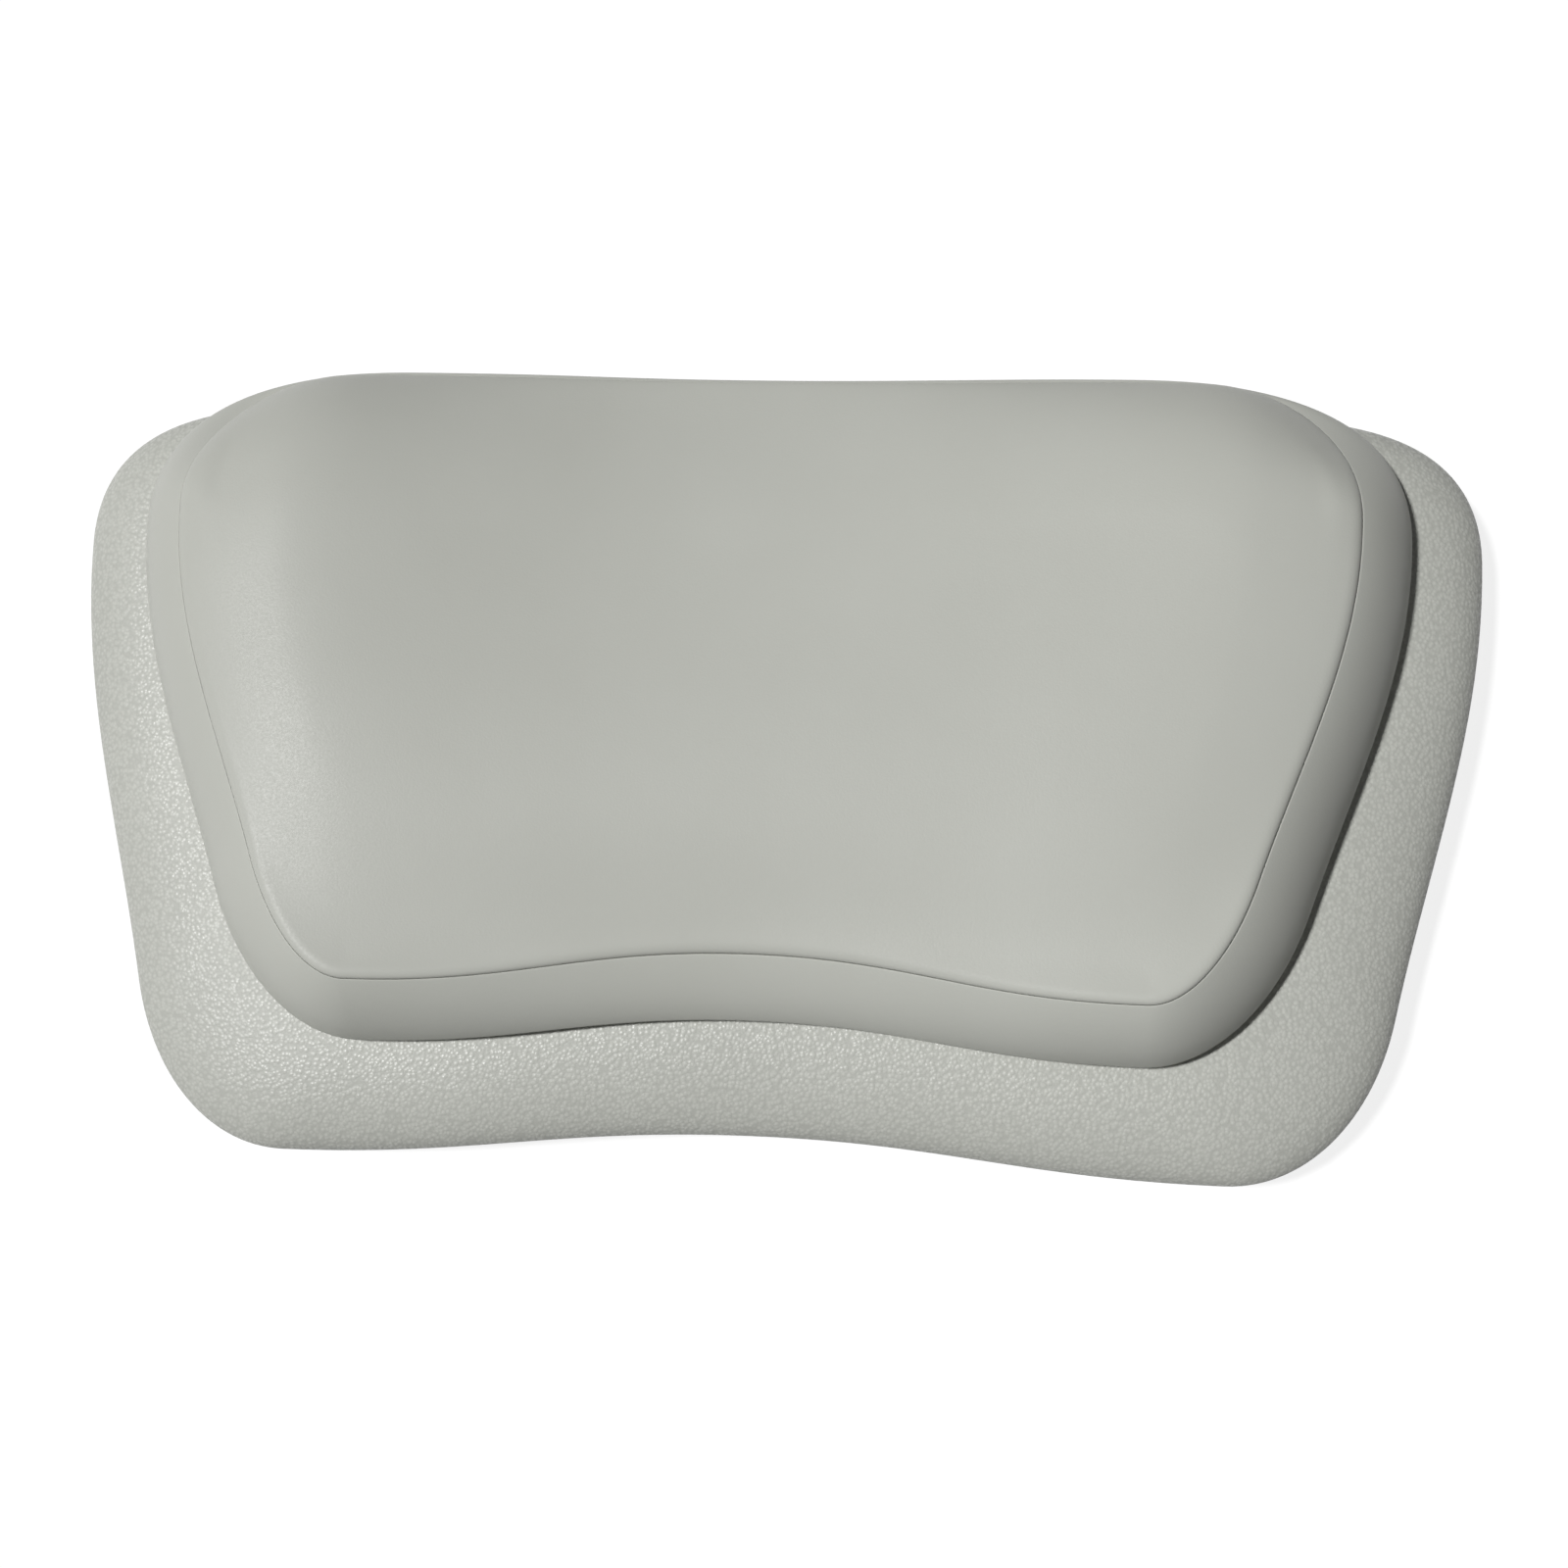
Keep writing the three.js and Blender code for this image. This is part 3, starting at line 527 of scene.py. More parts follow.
def join_rings(mesh, rings, closed=False):
    """Faces from each ring to the next, and from the last to the first of a closed hoop."""
    followers = rings[1:] + rings[:1] if closed else rings[1:]
    for ring, follower in zip(rings, followers):
        count = len(ring)
        for i in range(count):
            j = (i + 1) % count
            mesh.faces.new((ring[i], ring[j], follower[j], follower[i]))


def close_fan(mesh, ring, place):
    """Closes a ring with a fan of faces round a point."""
    peak = mesh.verts.new(place)
    for vertex, follower in zip(ring, ring[1:] + ring[:1]):
        mesh.faces.new((vertex, follower, peak))


def fill_round_holes(mesh, border, holes):
    """A flat face inside a border of vertices, with round holes left open in it."""
    edges = []
    for loop in [border, *holes]:
        for vertex, follower in zip(loop, loop[1:] + loop[:1]):
            edges.append(mesh.edges.get((vertex, follower)) or mesh.edges.new((vertex, follower)))
    bmesh.ops.triangle_fill(mesh, use_beauty=True, use_dissolve=False, edges=edges)


def turned_mesh(profile, steps=ROUND_STEPS):
    """A turned piece on the Z axis from points of radius and height, closed on the axis at both ends."""
    mesh = bmesh.new()
    rings = []
    for radius, z in profile:
        if radius == 0:
            rings.append([mesh.verts.new((0, 0, z))])
        else:
            rings.append(add_circle(mesh, Vector((0, 0)), radius, z, steps))
    for ring, follower in zip(rings, rings[1:]):
        for i in range(steps):
            j = (i + 1) % steps
            if len(ring) == 1:
                mesh.faces.new((ring[0], follower[j], follower[i]))
            elif len(follower) == 1:
                mesh.faces.new((ring[i], ring[j], follower[0]))
            else:
                mesh.faces.new((ring[i], ring[j], follower[j], follower[i]))
    return mesh


def arc(centre, radii, start, end, steps):
    """Points of radius and height on an arc, between two angles in degrees."""
    angles = [math.radians(start + (end - start) * step / steps) for step in range(steps + 1)]
    return [(centre[0] + radii[0] * math.cos(a), centre[1] + radii[1] * math.sin(a)) for a in angles]


def waver(mesh, amount):
    """Lifts and lowers vertices a little, so that the skin isn't perfectly even."""
    spread = 30 * MM
    for vertex in mesh.verts:
        vertex.co.z += amount * noise.noise(Vector((vertex.co.x, vertex.co.y, 0)) / spread)


def new_object(name, data):
    """A new object in the scene, from a mesh, a lamp or a camera."""
    thing = bpy.data.objects.new(name, data)
    bpy.context.scene.collection.objects.link(thing)
    return thing


def to_object(name, mesh, finish):
    """A new smooth-shaded object from a mesh under construction."""
    bmesh.ops.recalc_face_normals(mesh, faces=mesh.faces)
    data = bpy.data.meshes.new(name)
    mesh.to_mesh(data)
    mesh.free()
    data.materials.append(finish)
    data.shade_smooth()
    return new_object(name, data)


def block_object(name, size, centre):
    """A plain block, used only to cut or join."""
    mesh = bmesh.new()
    bmesh.ops.create_cube(mesh, size=1, matrix=Matrix.LocRotScale(centre, None, size))
    return to_object(name, mesh, finish=None)


def combine(piece, tool, operation):
    """Cuts a tool out of a piece or joins it on, and removes the tool."""
    modifier = piece.modifiers.new("combine", "BOOLEAN")
    modifier.object = tool
    modifier.operation = operation
    modifier.solver = "EXACT"
    bpy.context.view_layer.update()
    graph = bpy.context.evaluated_depsgraph_get()
    result = bpy.data.meshes.new_from_object(piece.evaluated_get(graph))
    piece.modifiers.clear()
    piece.data = result
    bpy.data.objects.remove(tool)


def round_edges(piece, width, degrees):
    """Rounds the sharp edges of a rigid piece and keeps its flat faces flat."""
    modifier = piece.modifiers.new("round edges", "BEVEL")
    modifier.width = width
    modifier.segments = 3
    modifier.limit_method = "ANGLE"
    modifier.angle_limit = math.radians(degrees)
    modifier.harden_normals = True


def shade_by_angle(piece, degrees):
    """Shades a piece smoothly, but for edges sharper than an angle."""
    piece.data.shade_smooth()
    piece.data.set_sharp_from_angle(angle=math.radians(degrees))


def copy_to(pattern, name, x, y):
    """Another object with a pattern's mesh, at a place in plan."""
    piece = new_object(name, pattern.data)
    piece.location = (x, y, 0)
    return piece


def settle(piece, body, node):
    """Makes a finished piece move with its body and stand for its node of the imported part."""
    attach(piece, body)
    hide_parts(node)


# Materials

class ShaderNodes:
    """The nodes of a material or of the surroundings, added one by one."""

    def __init__(self, tree):
        self.tree = tree

    def set(self, node, inputs):
        """Sets or links sockets of a node."""
        for socket, value in inputs.items():
            if isinstance(value, bpy.types.NodeSocket):
                self.tree.links.new(value, node.inputs[socket])
            else:
                node.inputs[socket].default_value = value

    def add(self, kind, inputs=None, **options):
        """The outputs of a new node with its options, and its sockets set or linked."""
        node = self.tree.nodes.new(kind)
        for option, value in options.items():
            setattr(node, option, value)
        self.set(node, inputs or {})
        return node.outputs

    def calculate(self, operation, *values):
        """The result of a calculation."""
        return self.add("ShaderNodeMath", dict(enumerate(values)), operation=operation)[0]

    def spread(self, factor, low, high, span=NOISE_RANGE):
        """A value between two, as a factor crosses a span."""
        inputs = {"Value": factor, "From Min": span[0], "From Max": span[1], "To Min": low, "To Max": high}
        return self.add("ShaderNodeMapRange", inputs)["Result"]

    def seen_directly(self):
        """1 for rays that show the background itself, alone or in a glossy or clear surface."""
        rays = self.add("ShaderNodeLightPath")
        seen = rays["Is Camera Ray"]
        for ray in ("Is Glossy Ray", "Is Transmission Ray"):
            seen = self.calculate("MAXIMUM", seen, rays[ray])
        return seen


class Finish(ShaderNodes):
    """A new material, whose patterns follow the place of each point in metres."""

    def __init__(self, name):
        self.material = bpy.data.materials.new(name)
        self.material.use_nodes = True
        super().__init__(self.material.node_tree)
        self.shader = self.tree.nodes["Principled BSDF"]
        self.place = self.add("ShaderNodeTexCoord")["Object"]

    def noise(self, size, detail=2, roughness=0.5, place=None, output="Fac"):
        """Cloudy noise whose patches have about the given size."""
        inputs = {"Scale": 1 / size, "Detail": detail, "Roughness": roughness, "Vector": place or self.place}
        return self.add("ShaderNodeTexNoise", inputs)[output]

    def cells(self, size, place=None):
        """How far each point is from the middle of its cell, in cells of about the given size."""
        inputs = {"Scale": 1 / size, "Vector": place or self.place}
        return self.add("ShaderNodeTexVoronoi", inputs)["Distance"]

    def warped(self, size, amount):
        """Places pushed about by noise, so that a pattern loses its straight lines."""
        inputs = {0: self.noise(size, output="Color"), 1: (amount,) * 3, 2: self.place}
        return self.add("ShaderNodeVectorMath", inputs, operation="MULTIPLY_ADD")["Vector"]

    def stretched(self, scale):
        """Places scaled along each axis, so that a pattern is drawn out."""
        return self.add("ShaderNodeMapping", {"Vector": self.place, "Scale": scale})["Vector"]

    def tint(self, factor, low, high, span=NOISE_RANGE):
        """A colour between two, as a factor crosses a span."""
        ramp = self.tree.nodes.new("ShaderNodeValToRGB")
        self.set(ramp, {"Fac": factor})
        for element, at, tone in zip(ramp.color_ramp.elements, span, (low, high)):
            element.position = at
            element.color = (*tone, 1)
        return ramp.outputs["Color"]

    def relief(self, height, depth, strength=1, under=None):
        """Fine relief from a height, over any coarser relief under it."""
        inputs = {"Height": height, "Distance": depth, "Strength": strength}
        if under is not None:
            inputs["Normal"] = under
        return self.add("ShaderNodeBump", inputs)["Normal"]

    def finished(self, **sockets):
        """The material with its shader's sockets set or linked, named with underscores for spaces."""
        self.set(self.shader, {name.replace("_", " "): value for name, value in sockets.items()})
        return self.material


def darker(tone, part):
    """A colour at part of its brightness."""
    return [value * part for value in tone]


def grained_skin_finish(colours):
    """Moulded skin with a fine leather grain: small uneven pebbles with pores, and painted shade in the
    valleys between them.
    """
    skin = Finish("grained_skin")
    hollows = skin.cells(0.85 * MM, place=skin.warped(0.7 * MM, amount=0.15 * MM))
    pebbles = skin.spread(hollows, 1, 0, span=(0, 0.75))
    pores = skin.noise(0.3 * MM)
    clouds = skin.spread(skin.noise(45 * MM, detail=4), 0.44, 0.56)
    # Painted shade: the pebble pattern darkens the colour in the valleys between the pebbles; the clouds are
    # the skin's own uneven tone
    valley_shade_share = 0.6
    tone = skin.calculate("MULTIPLY_ADD", pebbles, valley_shade_share, clouds)
    coarse = skin.relief(pebbles, depth=0.09 * MM)
    return skin.finished(
        Base_Color=skin.tint(tone, colours.grain_valley_painted_shade, colours.grain_top, span=(0.45, 1)),
        Roughness=skin.spread(pebbles, 0.5, 0.27, span=(0.2, 0.9)),
        Normal=skin.relief(pores, depth=0.05 * MM, strength=0.5, under=coarse),
        Specular_IOR_Level=0.4,
    )


def smooth_skin_finish(colours):
    """Moulded skin with a satin face: very fine tooth and a faint cloudiness."""
    skin = Finish("smooth_skin")
    tooth = skin.noise(0.5 * MM, detail=3)
    ripple = skin.noise(9 * MM)
    patches = skin.noise(60 * MM, detail=4)
    broad = skin.relief(ripple, depth=0.1 * MM, strength=0.3)
    return skin.finished(
        Base_Color=skin.tint(patches, colours.skin_shade, colours.skin),
        Roughness=skin.spread(tooth, 0.34, 0.46),
        Normal=skin.relief(tooth, depth=0.06 * MM, strength=0.45, under=broad),
        Specular_IOR_Level=0.15,
    )


def foam_finish(colours):
    """Open-cell foam: small round cells."""
    foam = Finish("foam")
    cells = foam.cells(1.1 * MM)
    return foam.finished(
        Base_Color=foam.tint(cells, darker(colours.foam, 0.7), colours.foam, span=(0, 0.5)),
        Roughness=0.95,
        Normal=foam.relief(cells, depth=0.5 * MM),
    )


def moulded_plastic_finish(name, tone):
    """Rigid moulded plastic with a fine spark texture."""
    plastic = Finish(name)
    spark = plastic.noise(0.35 * MM, detail=3, roughness=0.6)
    flow = plastic.noise(40 * MM, detail=3)
    return plastic.finished(
        Base_Color=plastic.tint(flow, darker(tone, 0.92), tone),
        Roughness=plastic.spread(spark, 0.42, 0.6),
        Normal=plastic.relief(spark, depth=0.06 * MM, strength=0.5),
    )


def turned_metal_finish(name, tone, roughness):
    """Turned metal with fine rings of tool marks and small stains."""
    metal = Finish(name)
    marks = metal.noise(0.12 * MM, detail=3, place=metal.stretched((0.08, 0.08, 1)))
    stains = metal.noise(2 * MM, detail=3)
    return metal.finished(
        Base_Color=metal.tint(stains, darker(tone, 0.8), tone),
        Metallic=1,
        Roughness=metal.spread(marks, roughness, roughness + 0.15),
        Normal=metal.relief(marks, depth=0.02 * MM, strength=0.4),
    )


def vinyl_finish(colours):
    """Soft clear vinyl, slightly milky, with a faint orange-peel face."""
    vinyl = Finish("cup_vinyl")
    peel = vinyl.noise(2.5 * MM)
    cloud = vinyl.noise(12 * MM, detail=3)
    return vinyl.finished(
        Base_Color=vinyl.tint(cloud, darker(colours.vinyl, 0.94), colours.vinyl),
        Roughness=vinyl.spread(cloud, 0.16, 0.28),
        IOR=1.52,
        Transmission_Weight=0.7,
        Normal=vinyl.relief(peel, depth=0.08 * MM, strength=0.3),
    )


# Pieces

def numbered(name):
    """Names of the nodes that differ only in the number after a name, in order."""
    return sorted(node for node in frame["nodes"] if node.startswith(name))


def screw_places():
    """Places of the clamp screws in plan."""
    places = []
    for name in numbered("clamp_screw_"):
        low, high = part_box(name)
        places.append((Vector(low) + Vector(high)) / 2)
    return places


def cup_joints():
    """The joints that the suction cups turn on."""
    return frame["record"]["behaviour"]["joints"]


class PILLOW_OT_base_pad(Operator):
    """Build the base pad: round rim, domed flange, flat seat and a hollowed back"""

    bl_idname = "pillow.base_pad"
    bl_label = "Base pad"

    def execute(self, context):
        settings = context.scene.pillow
        sizes = settings.base
        girth = base_outline(settings)
        recess = girth.inset(settings.back.plate_margin - GAP)
        seat = band_foot_outline(settings)
        recess_z = plate_high.z + GAP
        rim_z = base_low.z + sizes.rim_under
        under_steps, flat_steps, lip_steps, flange_steps = 10, 4, 4, 36
        mesh = bmesh.new()

        rings = [add_ring(mesh, recess, recess_z)]
        for angle in quarter_turn(lip_steps):
            outward = sizes.recess_lip * (1 - math.cos(angle))
            z = base_low.z + sizes.recess_lip * (1 - math.sin(angle))
            rings.append(add_ring(mesh, recess.inset(-outward), z))
        back_start = recess.inset(-sizes.recess_lip)
        back_end = girth.inset(sizes.rim_under)
        for part in parts_of(flat_steps)[:-1]:
            rings.append(add_ring(mesh, between(back_start, back_end, part), base_low.z))
        for angle in reversed(quarter_turn(under_steps)):
            drawn_in = sizes.rim_under * (1 - math.cos(angle))
            z = rim_z - sizes.rim_under * math.sin(angle)
            rings.append(add_ring(mesh, girth.inset(drawn_in), z))
        for angle in quarter_turn(flange_steps)[1:]:
            z = rim_z + (base_high.z - rim_z) * math.sin(angle)
            rings.append(add_ring(mesh, between(girth, seat, 1 - math.cos(angle)), z))
        join_rings(mesh, rings)
        waver(mesh, sizes.waver)
        self.add_holes(mesh, settings, rings[0], rings[-1], recess_z)

        piece = to_object("base_pad_skin", mesh, grained_skin_finish(settings.colours))
        settle(piece, "pillow", "base_pad")
        return {"FINISHED"}

    def add_holes(self, mesh, settings, ceiling, seat, recess_z):
        """Fills the recess's ceiling and the seat round the screws' holes and the pockets for the cups."""
        sizes = settings.back
        head_top = cup_high.z + SWIVEL_GAP
        low_holes, high_holes, pockets = [], [], []
        for place in screw_places():
            low_holes.append(add_circle(mesh, place, sizes.shank_radius + GAP, recess_z))
            high_holes.append(add_circle(mesh, place, sizes.shank_radius + GAP, base_high.z))
            join_rings(mesh, [low_holes[-1], high_holes[-1]])
        for joint in cup_joints():
            place = Vector(joint["pos_m"])
            pocket = add_circle(mesh, place, sizes.cup_head + SWIVEL_GAP, recess_z)
            roof = add_circle(mesh, place, sizes.cup_head + SWIVEL_GAP, head_top)
            join_rings(mesh, [pocket, roof])
            mesh.faces.new(roof)
            pockets.append(pocket)
        fill_round_holes(mesh, ceiling, low_holes + pockets)
        fill_round_holes(mesh, seat, high_holes)


class PILLOW_OT_side_band(Operator):
    """Build the side band: a soft hoop, drawn in at its foot and rolled over to the seam"""

    bl_idname = "pillow.side_band"
    bl_label = "Side band"

    def execute(self, context):
        settings = context.scene.pillow
        sizes = settings.cushion
        seam = rolled_in(settings, 1)
        inner = seam.inset(sizes.shoulder)
        ledge = ledge_heights(settings)
        inner_ledge = inner_ledge_heights(settings)
        girth_z = girth_height(settings)
        tuck_steps, wall_steps = 10, 4
        mesh = bmesh.new()

        rings = []
        for angle in quarter_turn(tuck_steps):
            shape = band_foot_outline(settings, 1 - math.sin(angle))
            rings.append(add_ring(mesh, shape, girth_z - sizes.tuck_rise * math.cos(angle)))
        rings += self.roll_rings(mesh, settings)
        rings.append(add_ring(mesh, seam, ledge))
        for part in parts_of(wall_steps):
            heights = [blend(outer_z, inner_z, part) for outer_z, inner_z in zip(ledge, inner_ledge)]
            rings.append(add_ring(mesh, between(seam, inner, part), heights))
        for part in parts_of(wall_steps):
            rings.append(add_ring(mesh, inner, [blend(z, band_low.z, part) for z in inner_ledge]))
        join_rings(mesh, rings, closed=True)
        waver(mesh, sizes.waver)

        piece = to_object("side_band_skin", mesh, smooth_skin_finish(settings.colours))
        settle(piece, "pillow", "side_band")
        return {"FINISHED"}

    def roll_rings(self, mesh, settings):
        """Rings from the girth up to the seam, and round the crease's outer side down to the slit."""
        sizes = settings.cushion
        heights = seam_heights(settings)
        depths = along_seam(settings, sizes.crease_depth)
        girth_z = girth_height(settings)
        roll_steps, crease_steps = 30, 8
        crease_part = 1 - sizes.lip / sizes.roll
        start_x, start_z = math.cos(sizes.roll_start), math.sin(sizes.roll_start)
        across = start_x - math.cos(sizes.turn)
        up = math.sin(sizes.turn) - start_z
        last_angle = math.acos(start_x - crease_part * across)
        rings = []
        for part in parts_of(roll_steps):
            angle = blend(sizes.roll_start, last_angle, part)
            inward = (start_x - math.cos(angle)) / across
            upward = (math.sin(angle) - start_z) / up
            roll_heights = [blend(girth_z, z, upward) for z in heights]
            rings.append(add_ring(mesh, rolled_in(settings, inward), roll_heights))
        for part in parts_of(crease_steps):
            still_rolled = (1 - part) ** 2
            crease_heights = []
            for z, roll_z, depth in zip(heights, roll_heights, depths):
                crease_heights.append(blend(z, roll_z, still_rolled) - depth * part ** 2)
            inward = blend(1, crease_part, still_rolled)
            rings.append(add_ring(mesh, rolled_in(settings, inward), crease_heights))
        return rings


class CrownEdge:
    """The crown pad's edge in plan, with its height, fall, margin and nearness to the top at each point."""

    NEAR = 3 * MM  # up to this distance only the nearest point counts
    FAR = 9 * MM  # from this distance on only the blend of all stretches counts
    REACH = 60 * MM  # farther in than any margin

    def __init__(self, settings, rim):
        sizes = settings.crown
        self.points = outline_points(rim)
        followers = self.points[1:] + self.points[:1]
        self.middles = [(point + follower) / 2 for point, follower in zip(self.points, followers)]
        self.lengths = [(follower - point).length for point, follower in zip(self.points, followers)]
        self.tree = KDTree(len(self.points))
        beads = along_seam(settings, sizes.bead)
        depths = along_seam(settings, settings.cushion.crease_depth)
        self.values = []
        for i, (point, z) in enumerate(zip(self.points, seam_heights(settings))):
            self.tree.insert((point.x, point.y, 0), i)
            top_part = near_top(rim, point)
            foot_part = smooth_step(-point.y, -rim.hip_y, -rim.foot_mid_y)
            roll = blend(blend(sizes.roll, sizes.roll_top, top_part), sizes.roll_foot, foot_part)
            self.values.append((z + beads[i], beads[i] + depths[i], roll, top_part))
        self.tree.balance()

    def nearest(self, place):
        """Distance from a place to the edge, and the edge's values there."""
        _, i, _ = self.tree.find((place.x, place.y, 0))
        found = []
        for first, second in ((i - 1, i), (i, (i + 1) % len(self.points))):
            start = self.points[first]
            run = self.points[second] - start
            part = min(1, max(0, (place - start).dot(run) / run.length_squared))
            values = [blend(a, b, part) for a, b in zip(self.values[first], self.values[second])]
            found.append(((place - start - run * part).length, *values))
        return min(found)

    def soft(self, place):
        """The same, but with the corners blended: an average that the near stretches of the edge lead."""
        sharp = self.nearest(place)
        if sharp[0] < self.NEAR or sharp[0] > self.REACH:
            return sharp
        weights = []
        for middle, stretch in zip(self.middles, self.lengths):
            weights.append(stretch / (place - middle).length_squared ** 2)
        total = sum(weights)
        # Beside a long straight edge this is the plain distance
        distance = (math.pi / 2 / total) ** (1 / 3)
        blended = [sum(w * v for w, v in zip(weights, column)) / total for column in zip(*self.values)]
        part = smooth_step(sharp[0], self.NEAR, self.FAR)
        return [blend(a, b, part) for a, b in zip(sharp, (distance, *blended))]


class PILLOW_OT_crown_pad(Operator):
    """Build the crown pad: two humps with a cradle between them and a rounded margin"""

    bl_idname = "pillow.crown_pad"
    bl_label = "Crown pad"

    def execute(self, context):
        settings = context.scene.pillow
        seam = rolled_in(settings, 1)
        rim = seam.inset(settings.cushion.seam_width)
        inner = seam.inset(settings.cushion.shoulder)
        lifts = along_seam(settings, settings.crown.rim_lift, settings.crown.rim_lift_top)
        mesh = bmesh.new()

        rings = []
        for shape, ledge in ((inner, inner_ledge_heights(settings)), (rim, ledge_heights(settings))):
            rings.append(add_ring(mesh, shape, [z + lift for z, lift in zip(ledge, lifts)]))
        rings += self.dome_rings(mesh, settings, rim)
        join_rings(mesh, rings)
        close_fan(mesh, rings[0], (0, rim.middle_y, crown_under(settings)))
        mesh.faces.new(rings[-1])
        waver(mesh, settings.cushion.waver)

        piece = to_object("crown_pad_skin", mesh, smooth_skin_finish(settings.colours))
        settle(piece, "pillow", "crown_pad")
        return {"FINISHED"}

    def dome_rings(self, mesh, settings, rim):
        """Rings from the crown's edge, close together over its lip, towards the dome's middle."""
        edge = CrownEdge(settings, rim)
        middle = Vector((0, rim.middle_y))
        ring_count, crowding, last_part = 60, 2.4, 0.985
        rings = []
        for step in range(ring_count + 1):
            part = last_part * (step / ring_count) ** crowding
            ring = []
            for point in edge.points:
                place = point.lerp(middle, part)
                z = self.dome_height(settings, rim, edge, place)
                ring.append(mesh.verts.new((place.x, place.y, z)))
            rings.append(ring)
        return rings

    def dome_height(self, settings, rim, edge, place):
        """Height of the crown, rolled down to its edge."""
        sizes = settings.crown
        distance, edge_z, fall, roll, top_part = edge.soft(place)
        inward = min(1, distance / roll)
        falling = 1 - (1 - inward) ** 2
        rolled = blend(falling, falling ** sizes.power_top, top_part)
        z = blend(edge_z, self.height(settings, rim, place), rolled)
        if distance < sizes.lip:
            z -= fall * (1 - math.sqrt(distance / sizes.lip)) ** 2
        return z

    def height(self, settings, rim, place):
        """Height of the crown before its margin is rolled down."""
        sizes = settings.crown
        ridge_y = rim.top_y - sizes.ridge_drop
        if place.y > ridge_y:
            bow = sizes.bow_top * ((place.y - ridge_y) / sizes.ridge_drop) ** 2
        else:
            bow = sizes.bow_foot * ((place.y - ridge_y) / (ridge_y - rim.foot_mid_y)) ** 2
        depth = sizes.cradle * cradle_share(settings, rim, place.y)
        sink = sizes.sink * up_part(rim, place.y) ** 2
        middle_z = band_high.z - settings.cushion.seam_sweep + sizes.rise - sink
        return middle_z + depth * cradle_sweep(settings, rim, place) - bow


class PILLOW_OT_foam_core(Operator):
    """Build the foam core: a cut block with softened edges between the board and the crown pad"""

    bl_idname = "pillow.foam_core"
    bl_label = "Foam core"

    def execute(self, context):
        settings = context.scene.pillow
        shape = rolled_in(settings, 1).inset(settings.cushion.shoulder + GAP)
        inner_ledge = inner_ledge_heights(settings)
        softness, edge_steps = 0.6 * MM, 4
        mesh = bmesh.new()
        rings = []
        for angle in quarter_turn(edge_steps):
            low_ring = shape.inset(softness * (1 - math.sin(angle)))
            rings.append(add_ring(mesh, low_ring, core_low.z + softness * (1 - math.cos(angle))))
        for angle in quarter_turn(edge_steps):
            drop = softness * (1 - math.sin(angle))
            top_ring = shape.inset(softness * (1 - math.cos(angle)))
            rings.append(add_ring(mesh, top_ring, [z - drop for z in inner_ledge]))
        join_rings(mesh, rings)
        close_fan(mesh, rings[-1], (0, shape.middle_y, crown_under(settings) - GAP))
        mesh.faces.new(rings[0])
        piece = to_object("foam_core_block", mesh, foam_finish(settings.colours))
        settle(piece, "pillow", "foam_core")
        return {"FINISHED"}


class PILLOW_OT_hard_parts(Operator):
    """Finish the board and inserts inside the cushion, and round the backing plate's edges"""

    bl_idname = "pillow.hard_parts"
    bl_label = "Board, inserts and plate"

    def execute(self, context):
        settings = context.scene.pillow
        colours = settings.colours
        brass = turned_metal_finish("insert_brass", colours.brass, roughness=0.3)
        board = moulded_plastic_finish("board_plastic", colours.board)
        for name in numbered("threaded_insert_"):
            frame["nodes"][name].material_slots[0].material = brass
        frame["nodes"]["cushion_board"].material_slots[0].material = board

        mesh = bmesh.new()
        mesh.from_mesh(frame["nodes"]["backing_plate"].data)
        weld, flatness = 0.002 * MM, math.radians(0.5)
        bmesh.ops.remove_doubles(mesh, verts=mesh.verts, dist=weld)
        bmesh.ops.dissolve_limit(mesh, angle_limit=flatness, verts=mesh.verts, edges=mesh.edges)
        finish = moulded_plastic_finish("plate_plastic", colours.plate)
        piece = to_object("backing_plate_shell", mesh, finish)
        round_edges(piece, settings.back.plate_round, degrees=40)
        settle(piece, "pillow", "backing_plate")
        return {"FINISHED"}


class PILLOW_OT_clamp_screws(Operator):
    """Build the clamp screws: pan heads with a cross drive on plain shanks"""

    bl_idname = "pillow.clamp_screws"
    bl_label = "Clamp screws"

    def execute(self, context):
        settings = context.scene.pillow
        sizes = settings.back
        low, high = (Vector(corner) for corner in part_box("clamp_screw_1"))
        head_top = base_low.z - GAP
        head_height = head_top - low.z
        edge, shank = 0.25 * MM, sizes.shank_radius
        dome = arc((0, head_top - edge), (sizes.head_radius, head_height - edge), -90, 0, steps=8)
        profile = [
            (0, low.z),
            *dome[1:],
            (sizes.head_radius, head_top),
            (shank, head_top),
            (shank, high.z - shank / 2),
            (shank / 2, high.z),
            (0, high.z),
        ]
        steel = turned_metal_finish("screw_steel", settings.colours.steel, roughness=0.25)
        pattern = to_object("clamp_screw_pattern", turned_mesh(profile, steps=2 * HOLE_STEPS), steel)
        along, across = sizes.drive_length, sizes.drive_width
        for slot_size in ((along, across, 2 * sizes.drive_depth), (across, along, 2 * sizes.drive_depth)):
            combine(pattern, block_object("drive_slot", slot_size, Vector((0, 0, low.z))), "DIFFERENCE")
        shade_by_angle(pattern, degrees=35)

        for i, place in enumerate(screw_places(), 1):
            piece = copy_to(pattern, f"clamp_screw_turned_{i}", place.x, place.y)
            settle(piece, "pillow", f"clamp_screw_{i}")
        bpy.data.objects.remove(pattern)
        return {"FINISHED"}


